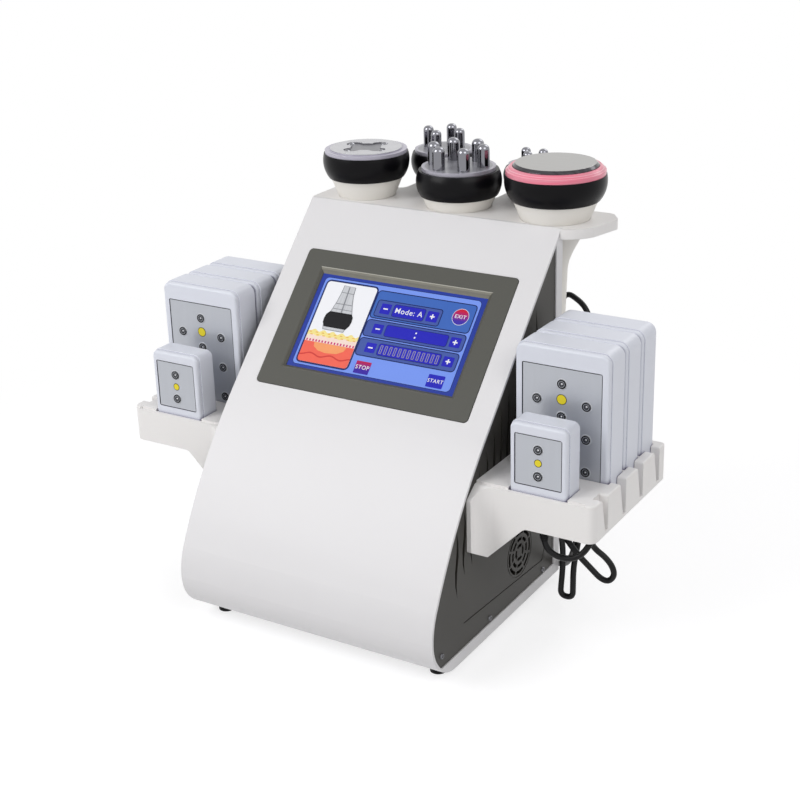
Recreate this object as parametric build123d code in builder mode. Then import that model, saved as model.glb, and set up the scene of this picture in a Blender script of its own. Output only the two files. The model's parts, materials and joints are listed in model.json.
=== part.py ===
"""Desk-top body-contouring machine: a wedge-shaped console with a touch screen, a rack of
five handpieces on top and four laser pads in a bracket on each side.

Frame: X to the right, Y to the back, Z up, millimetres. The origin is on the table, under the
middle of the machine. Most places are given from the brow, the top edge of the front panel:
side sketches use (y, z), plan sketches (x, y) and front sketches (x, z), all counted from there.
"""
import os
from math import atan2, cos, degrees, hypot, radians, sin, tan

from build123d import *

os.makedirs("parts", exist_ok=True)

# Console body
body_w = 268.0
top_z = 351.5
foot_h = 8.0
foot_r = 8.0
foot_side = 18.0
foot_rear_y = -22.0
shell_t = 2.5
nose_reach = 242.0
slope_fall_share = 1.22785
corner_r = 40.5
nose_r = 65.0
nose_turn_share = 0.585
seam_y = -9.0
rear_y = 3.0
seam_gap = 0.3
overrun = 5.0

# Side panels and their screws
panel_t = 3.0
panel_recess = 1.0
flange_h = 11.5
screw_reach_shares = (0.928, 0.568, 0.126)
screw_heights = (23.0, 16.4, 15.4)
screw_r = 1.6
screw_gap = 0.1
screw_head_r = 2.7
screw_head_t = 1.2
screw_len = 8.0
slit_pitch = 13.5
slit_front = 46.0
slit_back = 47.5
slit_w = 4.0
slit_edge = 9.0
slit_extra = 18.0
slit_wave = 2.2
slit_length_share = 0.3
slit_point_share = 0.33
slit_steps = 5
grille_in = 78.8
grille_up = 56.0
grille_r = 21.5
slot_t = 3.2
web_t = 3.4
spoke_w = 2.2
spoke_count = 8
inner_slots = 4
rim_w = 1.2
rim_d = 0.5
groove_reach_shares = (0.7645, 0.1339, 0.1074)
groove_heights = (35.5, 26.5, 39.9)
groove_r = 3.0
groove_w = 1.4
groove_d = 0.6

# Screen
bezel_side = 21.9
bezel_head = 54.6
bezel_foot = 14.9
frame_side = 23.5
frame_head = 21.95
bezel_r = 4.0
bezel_proud = 0.6
bezel_lip = 4.0
bezel_t = 3.5
bezel_gap = 0.4
display_bevel = 2.0
bezel_face_t = 2.8
glass_lip = 6.0
glass_t = 1.8
lcd_t = 5.0

# Inside the console
chassis_t = 1.5
ear_r = 6.0
chassis_front_gap = 46.0
chassis_back_gap = 11.0
supply_size = (62.0, 110.0, 34.0)
supply_side = 20.7
supply_gap = 22.0
board_side = 44.7
board_l = 120.0
board_t = 1.6
board_shift = 10.0
standoff_r = 3.0
standoff_h = 8.0
sink_size = (24.0, 90.0, 26.0)
sink_fins = 6
fin_t = 1.6
coil_can_r = 15.0
coil_can_h = 22.0
fan_size = 50.0
fan_t = 15.0
fan_wall = 2.0
fan_hub_r = 10.0
fan_gap = 1.0
fan_blades = 7
blade_chord = 11.0
fan_plate_t = 3.0
fan_strut_w = 2.5
fan_hole_r = 1.8
fan_hole_in = 5.0
blade_t = 1.2
blade_deg = 35.0
fan_shaft_r = 1.5
fit_gap = 0.05

# Back of the console
socket_count = 5
socket_pitch = 40.0
socket_up = 173.5
socket_r = 12.0
socket_body_r = 9.0
socket_bore_r = 6.0
jack_count = 8
jack_pitch = 26.0
jack_up = 123.5
jack_r = 5.5
jack_body_r = 3.6
jack_bore_r = 1.8
socket_flange_t = 2.0
socket_depth = 8.0
socket_bore_d = 3.5
vent_count = 7
vent_w = 3.0
vent_l = 42.0
vent_pitch = 7.0
vent_side = 56.0
vent_up = 53.5
inlet_side = 50.0
inlet_up = 43.5
inlet_size = (64.0, 31.0)
recess_x = -13.0
rocker_x = 15.5
inlet_flange_t = 2.0
inlet_corner_r = 3.0
inlet_body_wall = 3.0
inlet_depth = 22.0
recess_size = (25.0, 17.0)
recess_depth = 16.0
recess_corner_r = 4.0
blade_size = (2.0, 4.0)
blade_len = 9.0
blade_pitch = 7.0
rocker_w = 13.0
rocker_r = 9.0
rocker_gap = 0.4
rocker_sink = 1.0
rocker_front = 2.0
rocker_back = 4.0
rocker_tilt = 7.0
rocker_pin_r = 1.5
rocker_pin_l = 1.4

# Handpiece tray
tray_t = 9.0
tray_left = -136.0
tray_right = 167.0
tray_back = 68.0
tray_corner_in = (12.0, 17.0)
tray_cheek_in = [(32.7, -3.0), (18.0, 4.4), (8.5, 17.0)]
tray_corner_r = 12.0
lobe_margin = 9.0
lobe_blend = 9.0
seat_gap = 0.3
rib_places = [-41.0, 61.0]
rib_t = 4.0
rib_reach = 62.0
rib_h = 45.0

# Handpieces
front_row_y = 34.5
back_row_y = 96.0
arc_x = -92.3
cavitation_x = 111.5
four_pin_x = -40.0
six_pin_x = 10.6
three_pin_x = 57.0
cone_slope_share = 0.42
bell_z = -10.0
bell_pull = 14.0
neck_r = 11.8
neck_z = -52.0
neck_pull = 16.0
stem_r = 10.2
stem_end = -100.0
stem_round = 4.0
gland_r = 4.5
gland_l = 6.0
collar_step = 1.5
collar_belly_share = 0.58
disc_t = 3.2
pin_dome_share = 0.85

# Brackets
bracket_front = -163.0
bracket_up = 127.5
bracket_h = 34.5
bracket_wall = 3.0
bracket_floor_t = 3.0
bracket_root = 4.0
bracket_rim = 8.0
front_step = 2.0
gusset_top_w = 47.0
gusset_knee_w = 13.0
gusset_knee_up = 93.5
gusset_foot_up = 92.5
gusset_r = 8.0
corner_block_r = 8.0
edge_r = 2.0
flare_r = 15.0
flare_top_cut = 10.0
flare_foot_cut = 9.0
finger_t = 8.6
finger_r = 1.6
notch_first_in = 28.0
notch_pitch = 37.0
notch_count = 4
notch_w = 12.5
notch_tip = 5.5
notch_sill = 3.5
lead_hole = (26.0, 15.0)

# Laser pads
pad_side = 13.5
pad_gap = 0.4
pad_space = 3.0
large_w = 89.0
large_d = 30.5
large_h = 146.0
large_r = 9.0
large_plate = (74.0, 112.0)
large_plate_top = 17.3
small_w = 54.5
small_d = 25.0
small_h = 92.7
small_r = 6.5
small_inset = 3.5
small_space = 19.0
small_plate = (43.5, 46.0)
small_plate_top = 10.0
large_diode_shares = [
    (0, 0.13), (-0.311, 0.277), (0.311, 0.277), (0, 0.393),
    (-0.311, 0.545), (0.311, 0.545), (-0.311, 0.8125), (0.311, 0.8125),
]
small_diode_shares = [(0, 0.261), (0, 0.783)]
pad_round = 2.5
lid_t = 5.0
lid_step = 0.9
case_round = 0.8
plate_r = 1.5
plate_recess = 1.2
plate_t = 1.0
diode_r = 4.2
diode_proud = 0.8
pad_gland_r = 4.5
pad_gland_l = 8.0

# Cords
cord_d = 5.5
bend_share = 0.48
coil_r = 37.0
coil_gap = 1.7
layer_gap = 0.9
coil_half_turns = 4
coil_side_y = 75.0
tie_t = 0.8
tie_w = 6.0
tie_gap = 0.3
tie_slack = 0.9
tie_r = 1.8
tie_in_share = 1.75
tie_out_share = 0.75
pad_plug = (5.0, 22.0, 3.6, 6.0)
hand_plug = (9.5, 30.0, 5.0, 8.0)

half_w = body_w / 2
base_drop = top_z - foot_h
nose_drop = base_drop - corner_r
slope_deg = degrees(atan2(nose_drop, slope_fall_share * nose_reach))
nose_turn = nose_turn_share * (90 - slope_deg)
face_x = half_w - panel_recess
panel_x = face_x - panel_t
panel_inset = shell_t + seam_gap
panel_back = seam_y - seam_gap
flange_top = flange_h - base_drop
screw_places = [(-a * nose_reach, h - base_drop) for a, h in zip(screw_reach_shares, screw_heights)]
groove_points = [(-a * nose_reach, h - base_drop) for a, h in zip(groove_reach_shares, groove_heights)]
slit_count = round((nose_reach - slit_front - slit_back) / slit_pitch) + 1
grille_place = (-grille_in, grille_up - base_drop)
fan_bore_r = fan_size / 2 - fan_wall
fan_hole_pitch = fan_size - 2 * fan_hole_in
socket_z = socket_up - base_drop
jack_z = jack_up - base_drop
vent_place = (half_w - vent_side, vent_up - base_drop)
inlet_place = (inlet_side - half_w, inlet_up - base_drop)
tray_corner = (tray_right - tray_corner_in[0], tray_back - tray_corner_in[1])
tray_cheek = [(tray_right - x, y) for x, y in tray_cheek_in]


class Head:
    """One handpiece: where it stands and the sizes of its cone, collar and contact disc."""

    def __init__(self, x, y, cone_r, cone_h, collar_r, collar_h, disc_r):
        self.x = x
        self.y = y
        self.cone_r = cone_r
        self.cone_h = cone_h
        self.collar_r = collar_r
        self.collar_h = collar_h
        self.disc_r = disc_r
        self.top_r = cone_r + cone_slope_share * cone_h
        self.collar_top = cone_h + collar_h


head_places = {
    "arc": (arc_x, front_row_y),
    "four_pin": (four_pin_x, back_row_y),
    "six_pin": (six_pin_x, front_row_y),
    "three_pin": (three_pin_x, back_row_y),
    "cavitation": (cavitation_x, front_row_y),
}
# Radius and height of the cone, radius and height of the collar, radius of the disc
head_sizes = {
    "arc": (27.8, 18.5, 42.0, 23.5, 40.0),
    "four_pin": (22.0, 12.0, 33.0, 22.5, 29.0),
    "six_pin": (31.0, 11.3, 40.7, 23.7, 35.2),
    "three_pin": (18.0, 10.0, 28.0, 18.5, 23.0),
    "cavitation": (32.3, 17.5, 46.9, 23.5, 45.8),
}
heads = {name: Head(*head_places[name], *head_sizes[name]) for name in head_sizes}
slim_shares = {"arc": 1, "four_pin": 0.88, "six_pin": 1, "three_pin": 0.82, "cavitation": 1}

# Contact pins of three heads: pin radius, height above the disc and circle
pin_sizes = {
    "four_pin": (5.1, 20.8, 17.0),
    "six_pin": (5.9, 21.4, 24.4),
    "three_pin": (4.6, 13.6, 10.5),
}
four_pin_count = 4
six_pin_count = 6
three_pin_count = 3
four_pin_deg = 3.0
six_pin_deg = 10.2
three_pin_deg = 32.0
pin_rings = {
    "four_pin": (four_pin_count, four_pin_deg),
    "six_pin": (six_pin_count, six_pin_deg),
    "three_pin": (three_pin_count, three_pin_deg),
}

# Contact plate of the arc head: a raised ring round a scalloped centre, with four domes
plate_rim = 5.0
ring_rise = 1.4
scallop_r = 15.0
scallop_circle = 17.5
scallop_lobe_r = 8.0
dome_circle = 23.5
dome_r = 4.4
dome_count = 4
dome_first_deg = -19.5
led_ring_t = 7.5
led_slope = 4.0
steel_disc = (39.4, 3.0, 2.5)

rear_reach = back_row_y + heads["four_pin"].collar_r
brow_y = (nose_reach - rear_reach) / 2


def side_plane(x):
    """Plane across the machine at x: local axes are (y, z) from the brow, extruding to +X."""
    return Plane(origin=(x, brow_y, top_z), x_dir=(0, 1, 0), z_dir=(1, 0, 0))


def front_plane(y):
    """Upright plane at y: local axes are (x, z) from the brow, extruding towards the front."""
    return Plane(origin=(0, brow_y + y, top_z), x_dir=(1, 0, 0), z_dir=(0, -1, 0))


def deck(z):
    """Level plane at z: local axes are (x, y) from the brow, extruding upwards."""
    return Plane(origin=(0, brow_y, top_z + z), x_dir=(1, 0, 0), z_dir=(0, 0, 1))


def axis_plane(x, y):
    """Upright plane through an upright axis at (x, y): local axes are (radius, z)."""
    return Plane(origin=(x, brow_y + y, top_z), x_dir=(1, 0, 0), z_dir=(0, -1, 0))


def slope_plane(depth):
    """Plane of the front panel, depth below its outer face: local axes are x and up the slope."""
    lean = radians(slope_deg)
    out = Vector(0, -sin(lean), cos(lean))
    return Plane(origin=Vector(0, brow_y, top_z) - out * depth, x_dir=(1, 0, 0), z_dir=out)


def slope_point(inset, drop):
    """Point of the front panel's line, moved in by inset, at a given drop below the brow."""
    lean = radians(slope_deg)
    run = (drop - inset * cos(lean)) / sin(lean)
    return (inset * sin(lean) - run * cos(lean), -drop)


def slope_drop(inset, y):
    """Drop at which the front panel's line, moved in by inset, passes y."""
    lean = radians(slope_deg)
    run = (inset * sin(lean) - y) / cos(lean)
    return inset * cos(lean) + run * sin(lean)


def arc_point(centre, radius, angle):
    return (centre[0] - radius * cos(angle), centre[1] + radius * sin(angle))


# The belly arc joins the straight slope and the nose arc, touching both
lean = radians(slope_deg)
steep = radians(90 - slope_deg)
turn = radians(nose_turn)
nose_centre = (nose_r - nose_reach, -nose_drop)
nose_joint = arc_point(nose_centre, nose_r, turn)
gap_now = -sin(lean) * nose_joint[0] + cos(lean) * nose_joint[1]
gap_rate = sin(lean) * (sin(lean) - cos(turn)) + cos(lean) * (cos(lean) - sin(turn))
belly_r = -gap_now / gap_rate
belly_centre = (
    nose_centre[0] + (belly_r - nose_r) * cos(turn),
    nose_centre[1] - (belly_r - nose_r) * sin(turn),
)
corner_centre = (corner_r - nose_reach, -nose_drop)

# The screen takes up the straight part of the slope, less its margins
slope_foot = arc_point(belly_centre, belly_r, steep)
bezel_w = body_w - 2 * bezel_side
bezel_h = hypot(*slope_foot) - bezel_head - bezel_foot
display_w = bezel_w - 2 * frame_side
display_h = bezel_h - 2 * frame_head
screen_s = bezel_head + bezel_h / 2


def body_face(inset, drop, back, mode=Mode.ADD):
    """Side outline of the console, moved in by inset, from drop below the brow to y = back."""
    top = slope_point(inset, drop)
    belly = belly_r - inset
    nose = nose_r - inset
    heel = corner_r - inset
    a = arc_point(belly_centre, belly, steep)
    b = arc_point(belly_centre, belly, turn)
    c = arc_point(nose_centre, nose, 0)
    d = arc_point(corner_centre, heel, radians(-90))
    with BuildLine() as outline:
        Line(top, a)
        ThreePointArc(a, arc_point(belly_centre, belly, (steep + turn) / 2), b)
        ThreePointArc(b, arc_point(nose_centre, nose, turn / 2), c)
        ThreePointArc(c, arc_point(corner_centre, heel, radians(-45)), d)
        Polyline(d, (back, d[1]), (back, -drop), top)
    make_face(outline.edges(), mode=mode)


def span_box(y0, y1, z0, z1, mode=Mode.ADD):
    """Rectangle from its corners, in the sketch's own axes."""
    with Locations(((y0 + y1) / 2, (z0 + z1) / 2)):
        Rectangle(abs(y1 - y0), abs(z1 - z0), mode=mode)


def poly_face(points, mode=Mode.ADD):
    with BuildLine() as outline:
        Polyline(*points, points[0])
    make_face(outline.edges(), mode=mode)


def save(part, name):
    part.label = name
    export_step(part, f"parts/{name}.step")


def head_seat(head):
    """Cut the conical seat of a handpiece from the part being built."""
    with BuildSketch(axis_plane(head.x, head.y)) as seat:
        wide = head.cone_r + cone_slope_share * overrun + seat_gap
        tight = head.cone_r - cone_slope_share * (tray_t + overrun) + seat_gap
        poly_face([(0, overrun), (wide, overrun), (tight, -tray_t - overrun), (0, -tray_t - overrun)])
    revolve(seat.sketch, axis=Axis((head.x, brow_y + head.y, 0), (0, 0, 1)), mode=Mode.SUBTRACT)


# Front shell: one white sheet for the sloping panel, the nose and the floor
with BuildPart() as front_shell:
    with BuildSketch(side_plane(-half_w)):
        body_face(0, 0, rear_y + overrun)
        body_face(shell_t, -overrun, rear_y + 3 * overrun, mode=Mode.SUBTRACT)
        inner_edge = -slope_drop(shell_t, seam_y)
        span_box(seam_y, rear_y + 2 * overrun, -base_drop - overrun, inner_edge, mode=Mode.SUBTRACT)
    extrude(amount=body_w)
    for x, thick in ((-half_w, shell_t), (half_w, -shell_t)):
        with BuildSketch(side_plane(x)):
            span_box(-nose_reach, seam_y, -base_drop, flange_top)
            body_face(shell_t / 2, 0, rear_y, mode=Mode.INTERSECT)
        extrude(amount=thick)
    with BuildSketch(slope_plane(-overrun)):
        with Locations((0, -screen_s)):
            RectangleRounded(bezel_w + 2 * bezel_gap, bezel_h + 2 * bezel_gap, bezel_r + bezel_gap)
    extrude(amount=-shell_t - 2 * overrun, mode=Mode.SUBTRACT)
    for name in ("arc", "six_pin", "cavitation"):
        head_seat(heads[name])
save(front_shell.part, "front_shell")


def slit(y, top, foot):
    """Upright slit that sways from side to side, pointed at both ends."""
    left, right = [], []
    for i in range(1, slit_steps):
        share = i / slit_steps
        sway = slit_wave * sin(radians(360 * share))
        half = slit_w / 2 * min(1, share / slit_point_share, (1 - share) / slit_point_share)
        z = top + (foot - top) * share
        left.append((y + sway - half, z))
        right.append((y + sway + half, z))
    poly_face([(y, top), *right, (y, foot), *reversed(left)], mode=Mode.SUBTRACT)


# Side panels: grey plates between shell and seam, with swaying slits and a fan grille
with BuildPart() as side_panel:
    with BuildSketch(side_plane(panel_x)):
        body_face(panel_inset, slope_drop(panel_inset, panel_back) + seam_gap, panel_back)
        span_box(-nose_reach, 0, -base_drop, flange_top + seam_gap, mode=Mode.SUBTRACT)
        with Locations(*screw_places):
            Circle(screw_r, mode=Mode.SUBTRACT)
        for i in range(slit_count):
            y = -slit_back - (slit_count - 1 - i) * slit_pitch
            top = -slope_drop(panel_inset, y) - slit_edge
            reach = slit_edge + slit_extra + (base_drop + top) * slit_length_share
            slit(y, top, top - reach + slit_pitch / 2 * (i % 2))
    extrude(amount=panel_t)
    with BuildSketch(side_plane(panel_x)):
        with Locations(grille_place):
            for ring, bars, start in ((0, spoke_count, 0.5), (1, spoke_count, 0.5), (2, inner_slots, 0.5)):
                ring_r = grille_r - ring * (slot_t + web_t)
                Circle(ring_r)
                Circle(ring_r - slot_t, mode=Mode.SUBTRACT)
                for k in range(bars):
                    spoke_deg = 360 / bars * (k + start)
                    with PolarLocations(ring_r - slot_t / 2, 1, start_angle=spoke_deg):
                        Rectangle(slot_t + spoke_w, spoke_w, mode=Mode.SUBTRACT)
    extrude(amount=panel_t, mode=Mode.SUBTRACT)
    with BuildSketch(side_plane(face_x - rim_d)):
        with Locations(grille_place):
            Circle(grille_r + web_t / 2 + rim_w)
            Circle(grille_r + web_t / 2, mode=Mode.SUBTRACT)
    extrude(amount=rim_d, mode=Mode.SUBTRACT)
    with BuildSketch(side_plane(face_x - groove_d)):
        with BuildLine() as groove:
            FilletPolyline(*groove_points, radius=groove_r)
        trace(groove.edges(), line_width=groove_w)
    extrude(amount=groove_d, mode=Mode.SUBTRACT)
save(side_panel.part, "side_panel_right")
save(mirror(side_panel.part, about=Plane.YZ), "side_panel_left")
print("panel volume", round(side_panel.part.volume), "shell volume", round(front_shell.part.volume))

rear_front = seam_y + seam_gap
rear_top = -tray_t - seam_gap
wall_y = rear_y - shell_t
socket_xs = [(i - (socket_count - 1) / 2) * socket_pitch for i in range(socket_count)]
jack_xs = [(i - (jack_count - 1) / 2) * jack_pitch for i in range(jack_count)]
inlet_body = (inlet_size[0] - 2 * inlet_body_wall, inlet_size[1] - 2 * inlet_body_wall)

# Rear shell: a white tray closed by the back wall, open to the front
with BuildPart() as rear_shell:
    with BuildSketch(side_plane(-half_w)):
        span_box(rear_front, rear_y, -base_drop, rear_top)
    extrude(amount=body_w)
    with BuildSketch(side_plane(shell_t - half_w)):
        span_box(rear_front - overrun, wall_y, shell_t - base_drop, rear_top - shell_t)
    extrude(amount=body_w - 2 * shell_t, mode=Mode.SUBTRACT)
    with BuildSketch(side_plane(-half_w)):
        wedge_low = slope_drop(panel_inset, rear_front) + overrun
        poly_face([slope_point(panel_inset, 0), slope_point(panel_inset, wedge_low), (rear_front - overrun, 0)])
    extrude(amount=body_w, mode=Mode.SUBTRACT)
    with BuildSketch(front_plane(rear_y)):
        with Locations(*[(x, socket_z) for x in socket_xs]):
            Circle(socket_body_r + seam_gap)
        with Locations(*[(x, jack_z) for x in jack_xs]):
            Circle(jack_body_r + seam_gap)
        with Locations(inlet_place):
            Rectangle(inlet_body[0] + 2 * seam_gap, inlet_body[1] + 2 * seam_gap)
        with Locations(vent_place):
            with GridLocations(0, vent_pitch, 1, vent_count):
                SlotOverall(vent_l, vent_w)
    extrude(amount=shell_t + overrun, mode=Mode.SUBTRACT)
save(rear_shell.part, "rear_shell")


def uprights(part, points):
    """Upright edges of a part that pass through the given plan points."""
    found = []
    for edge in part.edges().filter_by(Axis.Z):
        at = edge.center()
        if any(abs(at.X - x) < seam_gap and abs(at.Y - brow_y - y) < seam_gap for x, y in points):
            found.append(edge)
    return found


# Handpiece tray: a bevelled plate with two round lobes, conical seats and two ribs beneath
cheek_start, cheek_mid, cheek_end = tray_cheek
lobes = [(heads[name], heads[name].cone_r + lobe_margin) for name in ("four_pin", "three_pin")]
with BuildPart() as handle_tray:
    with BuildSketch(deck(-tray_t)):
        with BuildLine():
            Polyline((tray_left, seam_y), (cheek_start[0], seam_y), cheek_start)
            ThreePointArc(cheek_start, cheek_mid, cheek_end)
            Polyline(cheek_end, (tray_right, tray_corner[1]), (tray_corner[0], tray_back))
            Polyline((tray_corner[0], tray_back), (tray_left, tray_back), (tray_left, seam_y))
        make_face()
        for head, lobe_r in lobes:
            with Locations((head.x, head.y)):
                Circle(lobe_r)
            span_box(head.x - lobe_r, head.x + lobe_r, tray_back - overrun, head.y)
    extrude(amount=tray_t)
    lobe_roots = [(head.x + side * lobe_r, tray_back) for head, lobe_r in lobes for side in (-1, 1)]
    fillet(uprights(handle_tray.part, lobe_roots), lobe_blend)
    fillet(uprights(handle_tray.part, [(tray_left, tray_back)]), tray_corner_r)
    fillet(uprights(handle_tray.part, [(tray_corner[0], tray_back), (tray_right, tray_corner[1])]), lobe_blend)
    with BuildSketch(side_plane(tray_left - overrun)):
        high, low = slope_point(panel_inset, -overrun), slope_point(panel_inset, tray_t + overrun)
        poly_face([high, low, (low[0] - overrun, low[1]), (low[0] - overrun, high[1])])
    extrude(amount=cheek_start[0] - tray_left + overrun, mode=Mode.SUBTRACT)
    for head in heads.values():
        head_seat(head)
    for x in rib_places:
        with BuildSketch(side_plane(x - rib_t / 2)):
            rib_y = rear_y + seam_gap
            poly_face([(rib_y, -tray_t), (rib_reach, -tray_t), (rib_y, -tray_t - rib_h)])
        extrude(amount=rib_t)
save(handle_tray.part, "handle_tray")

# Screen: a raised frame with a bevelled window, held behind the front sheet by its lip
glass_depth = bezel_face_t - bezel_proud
with BuildPart() as screen_bezel:
    with BuildSketch(slope_plane(shell_t + bezel_t)):
        with Locations((0, -screen_s)):
            RectangleRounded(bezel_w, bezel_h, bezel_r)
    extrude(amount=shell_t + bezel_t + bezel_proud)
    with BuildSketch(slope_plane(shell_t)):
        with Locations((0, -screen_s)):
            RectangleRounded(bezel_w + 2 * bezel_lip, bezel_h + 2 * bezel_lip, bezel_r)
    extrude(amount=-bezel_t)
    with BuildSketch(slope_plane(-bezel_proud)):
        with Locations((0, -screen_s)):
            Rectangle(display_w + 2 * display_bevel, display_h + 2 * display_bevel)
    extrude(amount=-display_bevel, taper=45, mode=Mode.SUBTRACT)
    with BuildSketch(slope_plane(-bezel_proud)):
        with Locations((0, -screen_s)):
            Rectangle(display_w, display_h)
    extrude(amount=-bezel_face_t, mode=Mode.SUBTRACT)
    with BuildSketch(slope_plane(glass_depth)):
        with Locations((0, -screen_s)):
            pocket_lip = 2 * glass_lip + 2 * seam_gap
            Rectangle(display_w + pocket_lip, display_h + pocket_lip)
    extrude(amount=-shell_t - bezel_t, mode=Mode.SUBTRACT)
save(screen_bezel.part, "screen_bezel")

with BuildPart() as touch_screen:
    with BuildSketch(slope_plane(glass_depth)):
        with Locations((0, -screen_s)):
            Rectangle(display_w + 2 * glass_lip, display_h + 2 * glass_lip)
    extrude(amount=-glass_t)
    with BuildSketch(slope_plane(glass_depth + glass_t)):
        with Locations((0, -screen_s)):
            Rectangle(display_w + glass_lip, display_h + glass_lip)
    extrude(amount=-lcd_t)
save(touch_screen.part, "touch_screen")

# Chassis plate on the floor, with an ear behind each side screw
floor_z = shell_t - base_drop
chassis_x = panel_x - seam_gap
chassis_front = chassis_front_gap - nose_reach
chassis_back = seam_y - chassis_back_gap
chassis_mid = (chassis_front + chassis_back) / 2
supply_place = (supply_side - chassis_x + supply_size[0] / 2, chassis_mid - board_shift)
board_left = supply_side - chassis_x + supply_size[0] + supply_gap
board_w = chassis_x - board_side - board_left
board_place = (board_left + board_w / 2, chassis_mid - board_shift)
with BuildPart() as chassis_plate:
    with BuildSketch(deck(floor_z)):
        span_box(-chassis_x, chassis_x, chassis_front, chassis_back)
    extrude(amount=chassis_t)
    for x, thick in ((-chassis_x, chassis_t), (chassis_x, -chassis_t)):
        for y, z in screw_places:
            with BuildSketch(side_plane(x)):
                root = max(y, chassis_front + ear_r)
                poly_face([(y - ear_r, z), (root - ear_r, floor_z), (root + ear_r, floor_z), (y + ear_r, z)])
                with Locations((y, z)):
                    Circle(ear_r)
                    Circle(screw_r, mode=Mode.SUBTRACT)
            extrude(amount=thick)
save(chassis_plate.part, "chassis_plate")

chassis_top = floor_z + chassis_t
with BuildPart() as power_supply:
    with BuildSketch(deck(chassis_top)):
        with Locations(supply_place):
            RectangleRounded(supply_size[0], supply_size[1], edge_r)
    extrude(amount=supply_size[2])
    with BuildSketch(deck(chassis_top + supply_size[2])):
        with Locations(supply_place):
            with GridLocations(0, vent_pitch, 1, vent_count):
                SlotOverall(vent_l, vent_w)
    extrude(amount=-vent_w, mode=Mode.SUBTRACT)
save(power_supply.part, "power_supply")

# Generator board: four posts, the board, a finned heat sink and two coil cans
board_x, board_y = board_place
board_top = chassis_top + standoff_h + board_t
with BuildPart() as generator_board:
    with BuildSketch(deck(chassis_top)):
        with Locations(board_place):
            with GridLocations(board_w - 4 * standoff_r, board_l - 4 * standoff_r, 2, 2):
                Circle(standoff_r)
    extrude(amount=standoff_h)
    with BuildSketch(deck(chassis_top + standoff_h)):
        with Locations(board_place):
            Rectangle(board_w, board_l)
    extrude(amount=board_t)
    with BuildSketch(deck(board_top)):
        with Locations((board_x - board_w / 4, board_y)):
            Rectangle(sink_size[0], sink_size[1])
    extrude(amount=fin_t)
    with BuildSketch(deck(board_top + fin_t)):
        with Locations((board_x - board_w / 4, board_y)):
            with GridLocations((sink_size[0] - fin_t) / (sink_fins - 1), 0, sink_fins, 1):
                Rectangle(fin_t, sink_size[1])
    extrude(amount=sink_size[2] - fin_t)
    with BuildSketch(deck(board_top)):
        with Locations((board_x + board_w / 4, board_y)):
            with GridLocations(0, 3 * coil_can_r, 1, 2):
                Circle(coil_can_r)
    extrude(amount=coil_can_h)
save(generator_board.part, "generator_board")

# Fan behind the right grille: a square frame with a hub plate on four struts, and a bladed rotor
fan_y, fan_z = grille_place
with BuildPart() as fan_frame:
    with BuildSketch(side_plane(panel_x)):
        with Locations(grille_place):
            RectangleRounded(fan_size, fan_size, edge_r)
            Circle(fan_bore_r, mode=Mode.SUBTRACT)
            with GridLocations(fan_hole_pitch, fan_hole_pitch, 2, 2):
                Circle(fan_hole_r, mode=Mode.SUBTRACT)
    extrude(amount=-fan_t)
    with BuildSketch(side_plane(panel_x - fan_t)):
        with Locations(grille_place):
            Rectangle(2 * fan_bore_r + fan_strut_w, fan_strut_w, rotation=45)
            Rectangle(2 * fan_bore_r + fan_strut_w, fan_strut_w, rotation=-45)
            Circle(fan_hub_r)
            Circle(fan_shaft_r + fit_gap, mode=Mode.SUBTRACT)
    extrude(amount=fan_plate_t)
save(fan_frame.part, "fan_frame")

rotor_in = panel_x - fan_t + fan_plate_t + fan_gap
rotor_out = panel_x - fan_gap
fan_centre = Vector((rotor_in + rotor_out) / 2, brow_y + fan_y, top_z + fan_z)
with BuildPart() as fan_impeller:
    with BuildSketch(side_plane(rotor_in)):
        with Locations(grille_place):
            Circle(fan_hub_r)
    extrude(amount=rotor_out - rotor_in)
    for i in range(fan_blades):
        angle = radians(360 / fan_blades * i)
        reach = Vector(0, cos(angle), sin(angle))
        root = fan_centre + reach * (fan_hub_r - fan_gap)
        with BuildSketch(Plane(origin=root, x_dir=(1, 0, 0), z_dir=reach)):
            Rectangle(blade_t, blade_chord, rotation=blade_deg)
        extrude(amount=fan_bore_r - fan_hub_r)
    with BuildSketch(side_plane(panel_x - fan_t)):
        with Locations(grille_place):
            Circle(fan_shaft_r)
    extrude(amount=rotor_in - panel_x + fan_t)
save(fan_impeller.part, "fan_impeller")

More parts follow.
